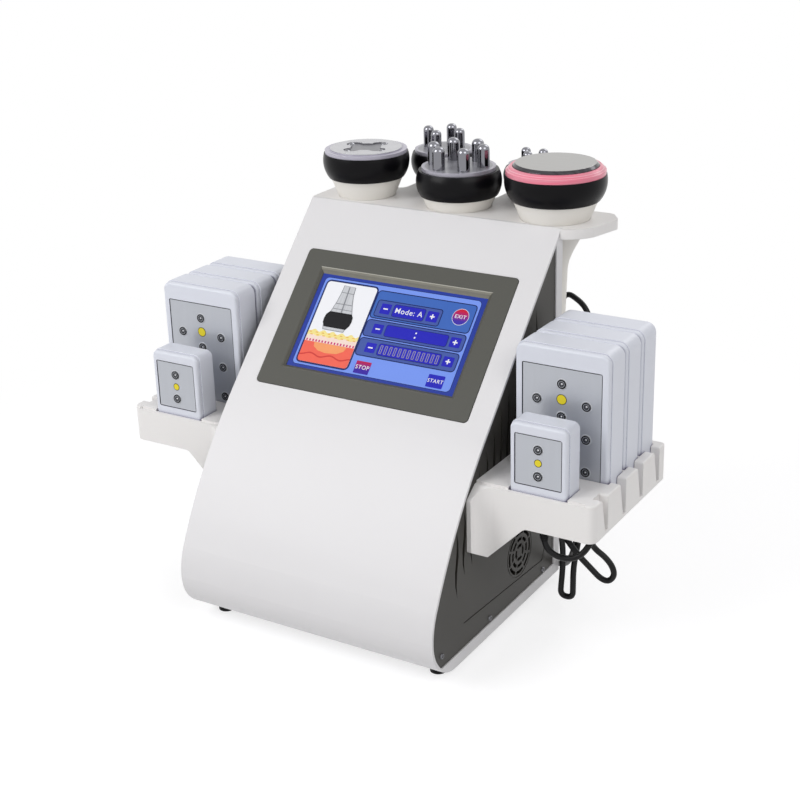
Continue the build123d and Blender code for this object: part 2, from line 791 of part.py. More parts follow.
# Power inlet with its rocker switch
inlet_x, inlet_z = inlet_place
plug_face = rear_y + inlet_flange_t
pivot = (plug_face - rocker_sink, inlet_z)
rocker_mid = inlet_x + rocker_x
well_r = rocker_r + rocker_gap
with BuildPart() as power_inlet:
    with BuildSketch(front_plane(plug_face)):
        with Locations(inlet_place):
            RectangleRounded(inlet_size[0], inlet_size[1], inlet_corner_r)
    extrude(amount=inlet_flange_t)
    with BuildSketch(front_plane(rear_y)):
        with Locations(inlet_place):
            Rectangle(inlet_body[0], inlet_body[1])
    extrude(amount=inlet_depth)
    with BuildSketch(front_plane(plug_face)):
        with Locations((inlet_x + recess_x, inlet_z)):
            RectangleRounded(recess_size[0], recess_size[1], recess_corner_r)
    extrude(amount=recess_depth, mode=Mode.SUBTRACT)
    with BuildSketch(front_plane(plug_face - recess_depth)):
        with Locations((inlet_x + recess_x, inlet_z)):
            for step in (-1, 0, 1):
                with Locations((step * blade_pitch, (1 - 2 * abs(step)) * blade_size[0])):
                    Rectangle(blade_size[0], blade_size[1])
    extrude(amount=-blade_len)
    with BuildSketch(front_plane(plug_face)):
        with Locations((rocker_mid, inlet_z)):
            Rectangle(rocker_w + 2 * rocker_gap, 2 * well_r)
    extrude(amount=rocker_sink + well_r, mode=Mode.SUBTRACT)
    with BuildSketch(side_plane(rocker_mid - rocker_w / 2 - rocker_pin_l - rocker_gap)):
        with Locations(pivot):
            Circle(rocker_pin_r + fit_gap)
    extrude(amount=rocker_w + 2 * rocker_pin_l + 2 * rocker_gap, mode=Mode.SUBTRACT)
save(power_inlet.part, "power_inlet")


def tilted(y, z):
    """Point of the rocker's level outline, turned about the pivot to its rest."""
    rest = radians(-rocker_tilt)
    return (pivot[0] + y * cos(rest) - z * sin(rest), pivot[1] + y * sin(rest) + z * cos(rest))


with BuildPart() as rocker_switch:
    with BuildSketch(side_plane(rocker_mid - rocker_w / 2)):
        with Locations(pivot):
            Circle(rocker_r)
        wide = rocker_r + overrun
        rise = rocker_front + wide * tan(radians(rocker_tilt))
        outer = [(rocker_front, 0), (rise, wide), (rise + wide, wide), (rise + wide, -wide), (rise, -wide)]
        poly_face([tilted(y, z) for y, z in outer], mode=Mode.SUBTRACT)
        inner = [(-rocker_back, -wide), (-rocker_back, wide), (-wide, wide), (-wide, -wide)]
        poly_face([tilted(y, z) for y, z in inner], mode=Mode.SUBTRACT)
    extrude(amount=rocker_w)
    with BuildSketch(side_plane(rocker_mid - rocker_w / 2 - rocker_pin_l)):
        with Locations(pivot):
            Circle(rocker_pin_r)
    extrude(amount=rocker_w + 2 * rocker_pin_l)
save(rocker_switch.part, "rocker_switch")

# Sockets for the five handpieces and jacks for the eight pads
with BuildPart() as rear_sockets:
    for xs, z, flange_r, body_r, bore_r in (
        (socket_xs, socket_z, socket_r, socket_body_r, socket_bore_r),
        (jack_xs, jack_z, jack_r, jack_body_r, jack_bore_r),
    ):
        spots = [(x, z) for x in xs]
        with BuildSketch(front_plane(rear_y + socket_flange_t)):
            with Locations(*spots):
                Circle(flange_r)
        extrude(amount=socket_flange_t)
        with BuildSketch(front_plane(rear_y)):
            with Locations(*spots):
                Circle(body_r)
        extrude(amount=socket_depth)
        with BuildSketch(front_plane(rear_y + socket_flange_t)):
            with Locations(*spots):
                Circle(bore_r)
        extrude(amount=socket_bore_d, mode=Mode.SUBTRACT)
save(rear_sockets.part, "rear_sockets")

with BuildPart() as feet:
    with BuildSketch(deck(-base_drop)):
        for y in (corner_centre[0], foot_rear_y):
            with Locations((foot_side - half_w, y), (half_w - foot_side, y)):
                Circle(foot_r)
    extrude(amount=-foot_h, taper=4)
save(feet.part, "feet")

with BuildPart() as case_screws:
    for side in (-1, 1):
        with BuildSketch(side_plane(side * face_x)):
            with Locations(*screw_places):
                Circle(screw_head_r)
        extrude(amount=side * screw_head_t, taper=20)
        with BuildSketch(side_plane(side * face_x)):
            with Locations(*screw_places):
                Circle(screw_r - screw_gap)
        extrude(amount=-side * screw_len)
save(case_screws.part, "case_screws")


class Pad:
    """One laser pad: its name, front face, size and the places on its face plate."""

    def __init__(self, name, front, size, corner, plate, plate_top, diode_shares):
        self.name = name
        self.front = front
        self.w, self.d, self.h = size
        self.corner = corner
        self.plate_w, self.plate_h = plate
        self.plate_top = plate_top
        self.diode_shares = diode_shares


bracket_bottom = bracket_up - base_drop
bracket_top = bracket_bottom + bracket_h
gusset_foot_z = gusset_foot_up - base_drop
gusset_knee = (face_x + gusset_knee_w, gusset_knee_up - base_drop)
gusset_top_x = face_x + gusset_top_w
pad_x = face_x + pad_side + large_w / 2
bracket_out = pad_x + large_w / 2 + pad_gap + finger_t
pad_bottom = bracket_bottom + bracket_floor_t + seat_gap
small_front = bracket_front + small_inset
large_first = small_front + small_d + small_space
small_size = (small_w, small_d, small_h)
large_size = (large_w, large_d, large_h)
pads = [Pad("small", small_front, small_size, small_r, small_plate, small_plate_top, small_diode_shares)]
for i, place in enumerate(("front", "middle", "rear")):
    front = large_first + i * (large_d + pad_space)
    pads.append(Pad(place, front, large_size, large_r, large_plate, large_plate_top, large_diode_shares))
bracket_back = pads[-1].front + large_d + bracket_rim

# Bracket: a gusseted moulding on the side panel, with a pocket and a lead hole for each pad
with BuildPart() as bracket:
    with BuildSketch(front_plane(bracket_front)) as bracket_end:
        knee_x, knee_z = gusset_knee
        top_corner = (gusset_top_x, bracket_bottom)
        poly_face([
            (face_x, bracket_top), (bracket_out, bracket_top), (bracket_out, bracket_bottom),
            top_corner, gusset_knee, (face_x, gusset_foot_z),
        ])
        fillet(bracket_end.vertices().sort_by_distance(top_corner)[0], gusset_r)
    extrude(amount=bracket_front - bracket_back)
    fillet(uprights(bracket.part, [(bracket_out, bracket_front)]), corner_block_r)
    fillet(uprights(bracket.part, [(bracket_out, bracket_back)]), corner_block_r / 2)
    with BuildSketch(deck(gusset_foot_z)):
        flare_x = face_x + bracket_root + flare_r
        span_box(face_x, flare_x, bracket_front - flare_r, bracket_front)
        with Locations((flare_x, bracket_front - flare_r)):
            Circle(flare_r, mode=Mode.SUBTRACT)
    extrude(amount=bracket_top - front_step - gusset_foot_z)
    with BuildSketch(side_plane(face_x)):
        lip_z = bracket_top - front_step
        tip_y = bracket_front - flare_r
        beyond = tip_y - overrun
        poly_face([(bracket_front, lip_z), (tip_y, lip_z - flare_top_cut), (beyond, lip_z - flare_top_cut),
                   (beyond, lip_z + overrun), (bracket_front, lip_z + overrun)])
        foot = gusset_foot_z
        poly_face([(bracket_front, foot), (tip_y, foot + flare_foot_cut), (beyond, foot + flare_foot_cut),
                   (beyond, foot - overrun), (bracket_front, foot - overrun)])
    extrude(amount=flare_x - face_x, mode=Mode.SUBTRACT)
    with BuildSketch(front_plane(bracket_front)):
        low = gusset_foot_z - overrun
        poly_face([top_corner, (gusset_top_x, low), (face_x, low), (face_x, gusset_foot_z), gusset_knee])
    extrude(amount=flare_r + overrun, mode=Mode.SUBTRACT)
    with BuildSketch(deck(gusset_foot_z - overrun)):
        span_box(
            face_x + bracket_root, bracket_out,
            bracket_front + bracket_wall, bracket_back - bracket_wall,
        )
    extrude(amount=bracket_bottom - gusset_foot_z + overrun, mode=Mode.SUBTRACT)
    with BuildSketch(deck(bracket_bottom + bracket_floor_t)):
        for pad in pads:
            half = pad.w / 2 + pad_gap
            span_box(pad_x - half, pad_x + half, pad.front - pad_gap, pad.front + pad.d + pad_gap)
    extrude(amount=bracket_top - bracket_bottom, mode=Mode.SUBTRACT)
    with BuildSketch(deck(bracket_bottom - overrun)):
        for pad in pads:
            with Locations((pad_x, pad.front + pad.d / 2)):
                SlotOverall(lead_hole[0], lead_hole[1])
    extrude(amount=bracket_floor_t + 2 * overrun, mode=Mode.SUBTRACT)
    with BuildSketch(deck(bracket_top - front_step)):
        step_half = large_w / 2 + pad_gap
        span_box(face_x, pad_x + step_half, bracket_front - overrun, small_front - pad_gap)
    extrude(amount=front_step + overrun, mode=Mode.SUBTRACT)
    with BuildSketch(side_plane(pad_x + large_w / 2 + pad_gap)):
        for i in range(notch_count):
            y = bracket_front + notch_first_in + i * notch_pitch
            poly_face([
                (y, bracket_top + overrun), (y - notch_w, bracket_top + overrun), (y - notch_w, bracket_top),
                (y - notch_tip, bracket_bottom + notch_sill), (y, bracket_bottom + notch_sill),
            ])
    extrude(amount=bracket_out - pad_x, mode=Mode.SUBTRACT)
    tips = [
        edge for edge in bracket.edges().filter_by(GeomType.LINE)
        if abs(edge.center().Z - top_z - bracket_top) < seam_gap
        and edge.center().X > pad_x + large_w / 2 + pad_gap + seam_gap
    ]
    fillet(tips, finger_r)
save(bracket.part, "bracket_right")
save(mirror(bracket.part, about=Plane.YZ), "bracket_left")


def plate_middle(pad):
    return pad_bottom + pad.h - pad.plate_top - pad.plate_h / 2


def pad_case(pad, x):
    """Rounded case with a recess for the plate in front and a lead gland underneath."""
    middle = (x, pad_bottom + pad.h / 2)
    with BuildPart() as case:
        with BuildSketch(front_plane(pad.front + lid_t)):
            with Locations(middle):
                RectangleRounded(pad.w, pad.h, pad.corner)
        extrude(amount=lid_t - pad.d)
        ends = case.edges().group_by(Axis.Y)
        fillet(ends[0], case_round)
        fillet(case.edges().group_by(Axis.Y)[-1], pad_round)
        with BuildSketch(front_plane(pad.front)):
            with Locations(middle):
                RectangleRounded(pad.w - 2 * lid_step, pad.h - 2 * lid_step, pad.corner - lid_step)
        extrude(amount=-lid_t)
        fillet(case.edges().group_by(Axis.Y)[0], pad_round)
        with BuildSketch(front_plane(pad.front)):
            with Locations((x, plate_middle(pad))):
                RectangleRounded(pad.plate_w + 2 * seam_gap, pad.plate_h + 2 * seam_gap, plate_r + seam_gap)
        extrude(amount=-plate_recess, mode=Mode.SUBTRACT)
        with BuildSketch(deck(pad_bottom)):
            with Locations((x, pad.front + pad.d / 2)):
                Circle(pad_gland_r)
        extrude(amount=-pad_gland_l)
    return case.part


def pad_face(pad, x):
    """Plate in the recess, with its laser diode cans standing proud."""
    back = pad.front + plate_recess
    plate_high = plate_middle(pad) + pad.plate_h / 2
    spots = [(x + across * pad.plate_w, plate_high - fall * pad.plate_h) for across, fall in pad.diode_shares]
    with BuildPart() as face:
        with BuildSketch(front_plane(back)):
            with Locations((x, plate_middle(pad))):
                RectangleRounded(pad.plate_w, pad.plate_h, plate_r)
        extrude(amount=plate_t)
        with BuildSketch(front_plane(back)):
            with Locations(*spots):
                Circle(diode_r)
        extrude(amount=plate_t + diode_proud)
    return face.part


for side, x in (("left", -pad_x), ("right", pad_x)):
    for pad in pads:
        save(pad_case(pad, x), f"pad_{side}_{pad.name}")
        save(pad_face(pad, x), f"pad_{side}_{pad.name}_face")


def head_axis(head):
    return Axis((head.x, brow_y + head.y, 0), (0, 0, 1))


def grip(head, slim):
    """Bell-shaped grip that narrows to a stem with a lead gland at its end."""
    bell_r = head.cone_r + cone_slope_share * bell_z
    bell_low = (bell_r - cone_slope_share * bell_pull, bell_z - bell_pull)
    neck = (neck_r * slim, neck_z)
    stem = (stem_r * slim, stem_end + stem_round)
    tip = (stem[0] - stem_round, stem_end)
    with BuildPart() as body:
        with BuildSketch(axis_plane(head.x, head.y)):
            with BuildLine():
                Polyline((0, head.cone_h), (head.top_r, head.cone_h), (bell_r, bell_z))
                Bezier((bell_r, bell_z), bell_low, (neck[0], neck_z + neck_pull), neck)
                Line(neck, stem)
                RadiusArc(stem, tip, stem_round)
                Polyline(tip, (gland_r, stem_end), (gland_r, stem_end - gland_l), (0, stem_end - gland_l))
                Line((0, stem_end - gland_l), (0, head.cone_h))
            make_face()
        revolve(axis=head_axis(head))
    return body.part


def collar(head):
    """Black ring with a bulging side that carries the contact disc."""
    top_r = (head.collar_r + head.disc_r) / 2
    foot = (head.top_r + collar_step, head.cone_h)
    belly = (head.collar_r, head.cone_h + collar_belly_share * head.collar_h)
    with BuildPart() as ring:
        with BuildSketch(axis_plane(head.x, head.y)):
            with BuildLine():
                Line((0, head.cone_h), foot)
                ThreePointArc(foot, belly, (top_r, head.collar_top))
                Polyline((top_r, head.collar_top), (0, head.collar_top), (0, head.cone_h))
            make_face()
        revolve(axis=head_axis(head))
    return ring.part


def pin_contact(name):
    """Disc with a ring of round-topped pins."""
    head = heads[name]
    pin_r, pin_h, circle_r = pin_sizes[name]
    pin_count, first_deg = pin_rings[name]
    with BuildPart() as contact:
        with BuildSketch(deck(head.collar_top)):
            with Locations((head.x, head.y)):
                Circle(head.disc_r)
        extrude(amount=disc_t)
        with BuildSketch(deck(head.collar_top + disc_t)):
            with Locations((head.x, head.y)):
                with PolarLocations(circle_r, pin_count, start_angle=first_deg):
                    Circle(pin_r)
        extrude(amount=pin_h)
        fillet(contact.edges().group_by(Axis.Z)[-1], pin_r * pin_dome_share)
    return contact.part


def arc_contacts(head):
    """Disc with a raised ring round a scalloped centre, and four domes on the scallops' edge."""
    level = head.collar_top + disc_t
    with BuildPart() as contact:
        with BuildSketch(deck(head.collar_top)):
            with Locations((head.x, head.y)):
                Circle(head.disc_r)
        extrude(amount=disc_t)
        with BuildSketch(deck(level)):
            with Locations((head.x, head.y)):
                Circle(head.disc_r - plate_rim)
                Circle(scallop_r, mode=Mode.SUBTRACT)
                with PolarLocations(scallop_circle, dome_count, start_angle=dome_first_deg):
                    Circle(scallop_lobe_r, mode=Mode.SUBTRACT)
        extrude(amount=ring_rise)
        with Locations((head.x, brow_y + head.y, top_z + level)):
            with PolarLocations(dome_circle, dome_count, start_angle=dome_first_deg):
                Sphere(dome_r, arc_size1=0)
    return contact.part


for name, head in heads.items():
    save(grip(head, slim_shares[name]), f"{name}_grip")
    save(collar(head), f"{name}_collar")
for name in pin_sizes:
    save(pin_contact(name), f"{name}_contact")
save(arc_contacts(heads["arc"]), "arc_contact")

# The cavitation head has a light ring round its bevelled steel disc
cavitation = heads["cavitation"]
steel_r, steel_t, steel_bevel = steel_disc
with BuildPart() as light_ring:
    with BuildSketch(axis_plane(cavitation.x, cavitation.y)):
        low, high = cavitation.collar_top, cavitation.collar_top + led_ring_t
        inner_r = steel_r + seam_gap
        poly_face([
            (inner_r, low), (cavitation.disc_r, low), (cavitation.disc_r, low + led_ring_t / 2),
            (cavitation.disc_r - led_slope, high), (inner_r, high),
        ])
    revolve(axis=head_axis(cavitation))
save(light_ring.part, "cavitation_light_ring")

with BuildPart() as steel_contact:
    with BuildSketch(deck(cavitation.collar_top)):
        with Locations((cavitation.x, cavitation.y)):
            Circle(steel_r)
    extrude(amount=led_ring_t + steel_t)
    chamfer(steel_contact.edges().group_by(Axis.Z)[-1], steel_bevel)
save(steel_contact.part, "cavitation_contact")


def spot(x, y, z):
    """A place given from the brow, in the part's own frame."""
    return Vector(x, brow_y + y, top_z + z)


def bend_radii(points):
    """Arc radius at each inner point: as large as the two runs beside it allow."""
    radii = []
    for before, at, after in zip(points, points[1:], points[2:]):
        turn_deg = (at - before).get_angle(after - at)
        run = min((at - before).length, (after - at).length)
        radii.append(bend_share * run / tan(radians(turn_deg / 2)))
    return radii


def cord_tube(name, places):
    """Tube along straight runs joined by tangent arcs."""
    points = [spot(*place) for place in places]
    radii = bend_radii(points)
    with BuildPart() as tube:
        with BuildLine() as route:
            FilletPolyline(*points, radius=radii)
        with BuildSketch(Plane(origin=points[0], z_dir=points[1] - points[0])):
            Circle(cord_d / 2)
        sweep()
    length = route.wires()[0].length
    section = tube.part.volume / length / (cord_d / 2) ** 2
    print(name, "length", round(length), "section over radius squared", round(section, 4))
    print("  radii", [round(r, 1) for r in radii])
    save(tube.part, name)


coil_pitch = cord_d + coil_gap
layer_rise = cord_d + layer_gap
coil_z = tie_t + tie_gap + cord_d / 2 - top_z


def coil_stops(x):
    """Ends of the half turns: a flat spiral in, a climb of one layer, and a flat spiral out."""
    stops = []
    for k in range(2 * coil_half_turns + 2):
        inward = min(k, coil_half_turns, 2 * coil_half_turns + 1 - k)
        r = coil_r - coil_pitch / 2 * inward
        side = -1 if k % 2 == 0 else 1
        z = coil_z + (layer_rise if k > coil_half_turns else 0)
        stops.append((spot(x, coil_side_y + side * r, z), Vector(side, 0, 0)))
    return stops


def coil_tube(name, x):
    """Piled coil: two loops lie on two more, entered and left at the outside."""
    stops = coil_stops(x)
    first, first_way = stops[0]
    last, last_way = stops[-1]
    with BuildPart() as coil:
        with BuildLine() as route:
            Line(first - first_way * cord_d, first)
            for (start, way), (end, end_way) in zip(stops, stops[1:]):
                reach = (end - start).length / 2
                middle = (start + end) / 2 + way * reach
                TangentArc(start, middle, tangent=way)
                TangentArc(middle, end, tangent=end - start)
            Line(last, last + last_way * cord_d)
        with BuildSketch(Plane(origin=first - first_way * cord_d, z_dir=first_way)):
            Circle(cord_d / 2)
        sweep()
    wire = route.wires()[0]
    steps = 60 * coil_half_turns
    marks = [wire.position_at(i / steps) for i in range(steps + 1)]
    apart = int(steps / (2 * coil_half_turns + 1))
    nearest = min((a - b).length for i, a in enumerate(marks) for b in marks[i + apart:])
    print(name, "length", round(wire.length), "least gap to itself", round(nearest - cord_d, 2))
    save(coil.part, name)


# Cords: one pad lead and one handpiece lead, each with a coil on the table and a plug at the back
pad_coil_x = 55.0
hand_coil_x = -35.0
front_end_y = coil_side_y - coil_r
rear_end_y = coil_side_y + coil_r
upper_z = coil_z + layer_rise
pad_jack_x = jack_xs[6]
hand_socket_x = socket_xs[2]
pad_plug_end = rear_y + socket_flange_t + pad_plug[1] + pad_plug[3]
hand_plug_end = rear_y + socket_flange_t + hand_plug[1] + hand_plug[3]
small_pad = pads[0]
small_mid_y = small_pad.front + small_pad.d / 2
grip_end = stem_end - gland_l
pad_lead_points = [
    (pad_x, small_mid_y, pad_bottom - pad_gland_l), (pad_x, small_mid_y, -231),
    (195.5, -146, -240.5), (204, -143.5, -245.6), (214, -141, -245.8), (222.5, -138.5, -241),
    (227.5, -135, -233), (228.5, -128, -226.8), (226, -118, -226.5), (220, -108, -233),
    (214, -99, -243), (211, -93, -253), (214, -90, -260), (222, -88, -266), (229, -87, -274),
    (231, -86, -283.5), (225.5, -86, -291), (217.5, -86, -290), (208, -86, -282), (198.8, -87, -273.7),
    (192, -88, -266), (186.1, -88, -259.2), (180.5, -85.5, -255), (176.4, -81, -257),
    (175, -77, -266), (175.2, -75, -279), (174.6, -74, -297), (173, -73, -312), (172.2, -73, -324.5),
    (184.6, -73, -324.5), (184.8, -73, -313), (184.8, -73, -298), (186, -73, -285), (187.4, -71, -273),
    (187, -67, -264), (184.5, -61, -262),
    (180.5, -55, -268), (171.8, -42, -287.5), (160.1, -24, -310.1), (147.5, -6, -328.8),
    (135, 8, -340), (122.3, 18, -345), (108, 28, coil_z + 1), (93, front_end_y - 3, coil_z),
    (76, front_end_y, coil_z), (pad_coil_x + cord_d, front_end_y, coil_z),
]
pad_tail_points = [
    (pad_coil_x + cord_d, rear_end_y, upper_z), (80, rear_end_y, upper_z), (97, 110, -331),
    (109, 102, -314), (111, 91, -293), (105, 80, -271), (93, 69, -250), (80, 61, -233),
    (pad_jack_x, 50, jack_z), (pad_jack_x, pad_plug_end, jack_z),
]
hand_lead_points = [
    (cavitation.x, cavitation.y, grip_end), (cavitation.x, cavitation.y, -121),
    (109, 44, -132), (104, 57, -135), (99, 68, -128), (97, 73, -114), (98, 75, -99), (103, 74, -88),
    (109.5, 72, -85.5), (115.3, 70, -87), (123.5, 68, -90.7), (129.3, 66, -95.3), (133.8, 64, -102),
    (139, 61, -115), (142, 57, -132), (142.5, 53, -154), (138, 52, -182), (130, 54, -210),
    (118, 58, -238), (100, 60, -266), (76, 60, -290), (50, 56, -311), (26, 49, -328), (5, 42, -341),
    (-12, front_end_y, coil_z), (hand_coil_x + cord_d, front_end_y, coil_z),
]
hand_tail_points = [
    (hand_coil_x + cord_d, rear_end_y, upper_z), (-10, rear_end_y, upper_z), (8, 110, -331),
    (19, 104, -313), (23, 96, -289), (22, 89, -262), (17, 84, -234), (10, 79, -208), (4, 74, -186),
    (hand_socket_x, 61, socket_z), (hand_socket_x, hand_plug_end, socket_z),
]
cord_tube("pad_lead", pad_lead_points)
cord_tube("pad_lead_tail", pad_tail_points)
cord_tube("hand_lead", hand_lead_points)
cord_tube("hand_lead_tail", hand_tail_points)
coil_tube("pad_lead_coil", pad_coil_x)
coil_tube("hand_lead_coil", hand_coil_x)


def plug(x, z, sizes):
    """Round plug against its socket, with a narrower strain relief behind it."""
    body_r, body_l, neck, neck_l = sizes
    face = rear_y + socket_flange_t
    with BuildPart() as shape:
        for r, start, reach in ((body_r, face, body_l), (neck, face + body_l, neck_l)):
            with BuildSketch(front_plane(face)):
                with Locations((x, z)):
                    Circle(r)
            extrude(amount=face - start - reach)
        fillet(shape.edges().filter_by(GeomType.CIRCLE).sort_by(Axis.Y)[1], edge_r / 2)
    return shape.part


save(plug(pad_jack_x, jack_z, pad_plug), "pad_lead_plug")
save(plug(hand_socket_x, socket_z, hand_plug), "hand_lead_plug")

# A strap round each coil, on its right-hand side, rests on the table
with BuildPart() as lead_ties:
    for x in (pad_coil_x, hand_coil_x):
        inner_x = x + coil_r - coil_pitch * tie_in_share - cord_d / 2 - tie_slack
        outer_x = x + coil_r - coil_pitch * tie_out_share + cord_d / 2 + tie_gap
        low, high = tie_t - top_z, upper_z + cord_d / 2 + tie_gap
        with BuildSketch(front_plane(coil_side_y + tie_w / 2)):
            with Locations(((inner_x + outer_x) / 2, (low + high) / 2)):
                RectangleRounded(outer_x - inner_x + 2 * tie_t, high - low + 2 * tie_t, tie_r)
                RectangleRounded(outer_x - inner_x, high - low, tie_r - tie_t, mode=Mode.SUBTRACT)
        extrude(amount=tie_w)
save(lead_ties.part, "lead_ties")
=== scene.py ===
"""Studio picture of a desk-top body-contouring machine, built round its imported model."""
import json
from math import cos, pi, radians, sin

import bpy
import bmesh
from mathutils import Matrix, Vector


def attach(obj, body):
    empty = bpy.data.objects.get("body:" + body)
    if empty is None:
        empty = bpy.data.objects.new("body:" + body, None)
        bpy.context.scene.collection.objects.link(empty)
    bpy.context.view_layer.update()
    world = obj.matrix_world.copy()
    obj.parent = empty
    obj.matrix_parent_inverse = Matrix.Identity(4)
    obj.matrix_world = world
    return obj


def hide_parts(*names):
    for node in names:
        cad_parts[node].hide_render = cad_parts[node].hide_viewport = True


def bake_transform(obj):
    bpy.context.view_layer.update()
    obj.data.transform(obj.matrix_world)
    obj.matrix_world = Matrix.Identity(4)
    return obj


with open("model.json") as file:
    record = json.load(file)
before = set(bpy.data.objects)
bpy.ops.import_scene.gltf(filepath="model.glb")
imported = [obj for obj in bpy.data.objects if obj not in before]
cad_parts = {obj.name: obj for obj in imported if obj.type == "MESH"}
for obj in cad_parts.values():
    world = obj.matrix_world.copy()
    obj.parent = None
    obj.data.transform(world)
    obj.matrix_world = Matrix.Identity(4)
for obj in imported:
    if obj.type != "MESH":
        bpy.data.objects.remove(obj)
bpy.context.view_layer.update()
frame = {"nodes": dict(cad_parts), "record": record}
nodes = frame["nodes"]
MM = 0.001

# The brow is the top edge of the front panel: most places are counted from it, in millimetres
BROW = Vector((0, 56.5, 351.5))
SLOPE = radians(45.56)
DOWN = Vector((0, -cos(SLOPE), -sin(SLOPE)))
OUT = Vector((0, -sin(SLOPE), cos(SLOPE)))


def at(x, y, z):
    """A place counted from the brow, in metres of the shared frame."""
    return (BROW + Vector((x, y, z))) * MM


def on_slope(u, s, depth):
    """A place on the front panel: u across, s down the slope, depth below its outer face."""
    return (BROW + Vector((u, 0, 0)) + DOWN * s - OUT * depth) * MM


# Camera: place and turn that line up with the photograph
CAMERA_PLACE = (710.7, -1212.1, 373.3)
yaw = radians(31.63)
pitch = radians(21.74)
roll = radians(1.62)
forward = Vector((-sin(yaw) * cos(pitch), cos(yaw) * cos(pitch), -sin(pitch)))
level = Vector((cos(yaw), sin(yaw), 0))
below = forward.cross(level)
right = level * cos(roll) + below * sin(roll)
down = below * cos(roll) - level * sin(roll)
camera = bpy.data.objects.new("camera", bpy.data.cameras.new("camera"))
bpy.context.scene.collection.objects.link(camera)
camera_turn = Matrix((right, -down, -forward)).transposed().to_4x4()
camera.matrix_world = Matrix.Translation(at(*CAMERA_PLACE)) @ camera_turn
camera.data.sensor_width = 36
camera.data.lens = 69.5
camera.data.shift_x = -0.0049
camera.data.shift_y = -0.0015
camera.data.clip_end = 20
bpy.context.scene.camera = camera


# Materials
def srgb(*values):
    """Linear colour of a display colour given from 0 to 255."""
    return tuple(((v / 255 + 0.055) / 1.055) ** 2.4 if v > 10 else v / 255 / 12.92 for v in values)


def tree(name):
    """A new node material: returns it with its nodes, its links and its Principled shader."""
    mat = bpy.data.materials.new(name)
    mat.use_nodes = True
    return mat, mat.node_tree.nodes, mat.node_tree.links, mat.node_tree.nodes["Principled BSDF"]


def noise(n, l, vector, scale, detail=2):
    """Cloudy factor: finer with a larger scale, richer with more detail."""
    cloud = n.new("ShaderNodeTexNoise")
    cloud.inputs["Scale"].default_value = scale
    cloud.inputs["Detail"].default_value = detail
    l.new(vector, cloud.inputs["Vector"])
    return cloud.outputs["Fac"]


def surface(n, l, bsdf, where, grain, bump, edge):
    """Fine moulded grain and rounded edges."""
    round_edge = n.new("ShaderNodeBevel")
    round_edge.inputs["Radius"].default_value = edge
    dent = n.new("ShaderNodeBump")
    dent.inputs["Strength"].default_value = bump
    dent.inputs["Distance"].default_value = 0.0005
    l.new(noise(n, l, where, grain, 4), dent.inputs["Height"])
    l.new(round_edge.outputs["Normal"], dent.inputs["Normal"])
    l.new(dent.outputs["Normal"], bsdf.inputs["Normal"])


def spread(n, l, factor, low, high, socket):
    """Drive a number by a factor, from low to high."""
    span = n.new("ShaderNodeMapRange")
    span.inputs["To Min"].default_value = low
    span.inputs["To Max"].default_value = high
    l.new(factor, span.inputs["Value"])
    l.new(span.outputs["Result"], socket)


def blend_colors(n, l, factor, first, second):
    """Mix two colours or colour outputs by a factor; returns the mixed output."""
    shade = n.new("ShaderNodeMix")
    shade.data_type = "RGBA"
    for socket, value in (("A", first), ("B", second)):
        if isinstance(value, tuple):
            shade.inputs[socket].default_value = (*value, 1)
        else:
            l.new(value, shade.inputs[socket])
    l.new(factor, shade.inputs["Factor"])
    return shade.outputs["Result"]


def finish(name, color, rough=0.4, metal=0.0, grain=400.0, bump=0.02, mottle=0.03, coat=0.0,
           edge=0.0004, stretch=(1, 1, 1), cloud_scale=9.0, glow=0.0, gloss=0.3, second=None):
    """Moulded or metal surface: slight mottling, fine grain, rounded edges, wear in the gloss."""
    mat, n, l, bsdf = tree(name)
    where = n.new("ShaderNodeTexCoord").outputs["Object"]
    scaled = n.new("ShaderNodeMapping")
    scaled.inputs["Scale"].default_value = stretch
    l.new(where, scaled.inputs["Vector"])
    cloud = noise(n, l, scaled.outputs["Vector"], cloud_scale, 3)
    share = 0.5 if glow else 1
    dark = tuple(c * share * (1 - mottle) for c in color)
    pale = second or tuple(min(1, c * share * (1 + mottle)) for c in color)
    l.new(blend_colors(n, l, cloud, dark, pale), bsdf.inputs["Base Color"])
    spread(n, l, cloud, rough * 0.85, min(1, rough * 1.2), bsdf.inputs["Roughness"])
    surface(n, l, bsdf, where, grain, bump, edge)
    bsdf.inputs["Metallic"].default_value = metal
    bsdf.inputs["Coat Weight"].default_value = coat
    bsdf.inputs["Specular IOR Level"].default_value = gloss
    if glow:
        bsdf.inputs["Emission Color"].default_value = (*color, 1)
        bsdf.inputs["Emission Strength"].default_value = glow
    return mat


def above(n, l, value, limit):
    """1 where the value is above the limit, else 0."""
    over = n.new("ShaderNodeMath")
    over.operation = "GREATER_THAN"
    over.inputs[1].default_value = limit
    l.new(value, over.inputs[0])
    return over.outputs["Value"]


def shade_crevices(mat, painted_shade_color, reach):
    """Painted shade: darken a surface's colour towards a shade colour where another one closes in on it."""
    n, l = mat.node_tree.nodes, mat.node_tree.links
    bsdf = n["Principled BSDF"]
    close = n.new("ShaderNodeAmbientOcclusion")
    close.samples = 6
    close.inputs["Distance"].default_value = reach
    span = n.new("ShaderNodeMapRange")
    span.inputs["From Min"].default_value = 0.25
    span.inputs["From Max"].default_value = 0.8
    l.new(close.outputs["AO"], span.inputs["Value"])
    plain = bsdf.inputs["Base Color"].links[0].from_socket
    l.new(blend_colors(n, l, span.outputs["Result"], painted_shade_color, plain), bsdf.inputs["Base Color"])


def split(n, l, where):
    """The outputs X, Y and Z of a place."""
    parts = n.new("ShaderNodeSeparateXYZ")
    l.new(where, parts.inputs["Vector"])
    return parts.outputs


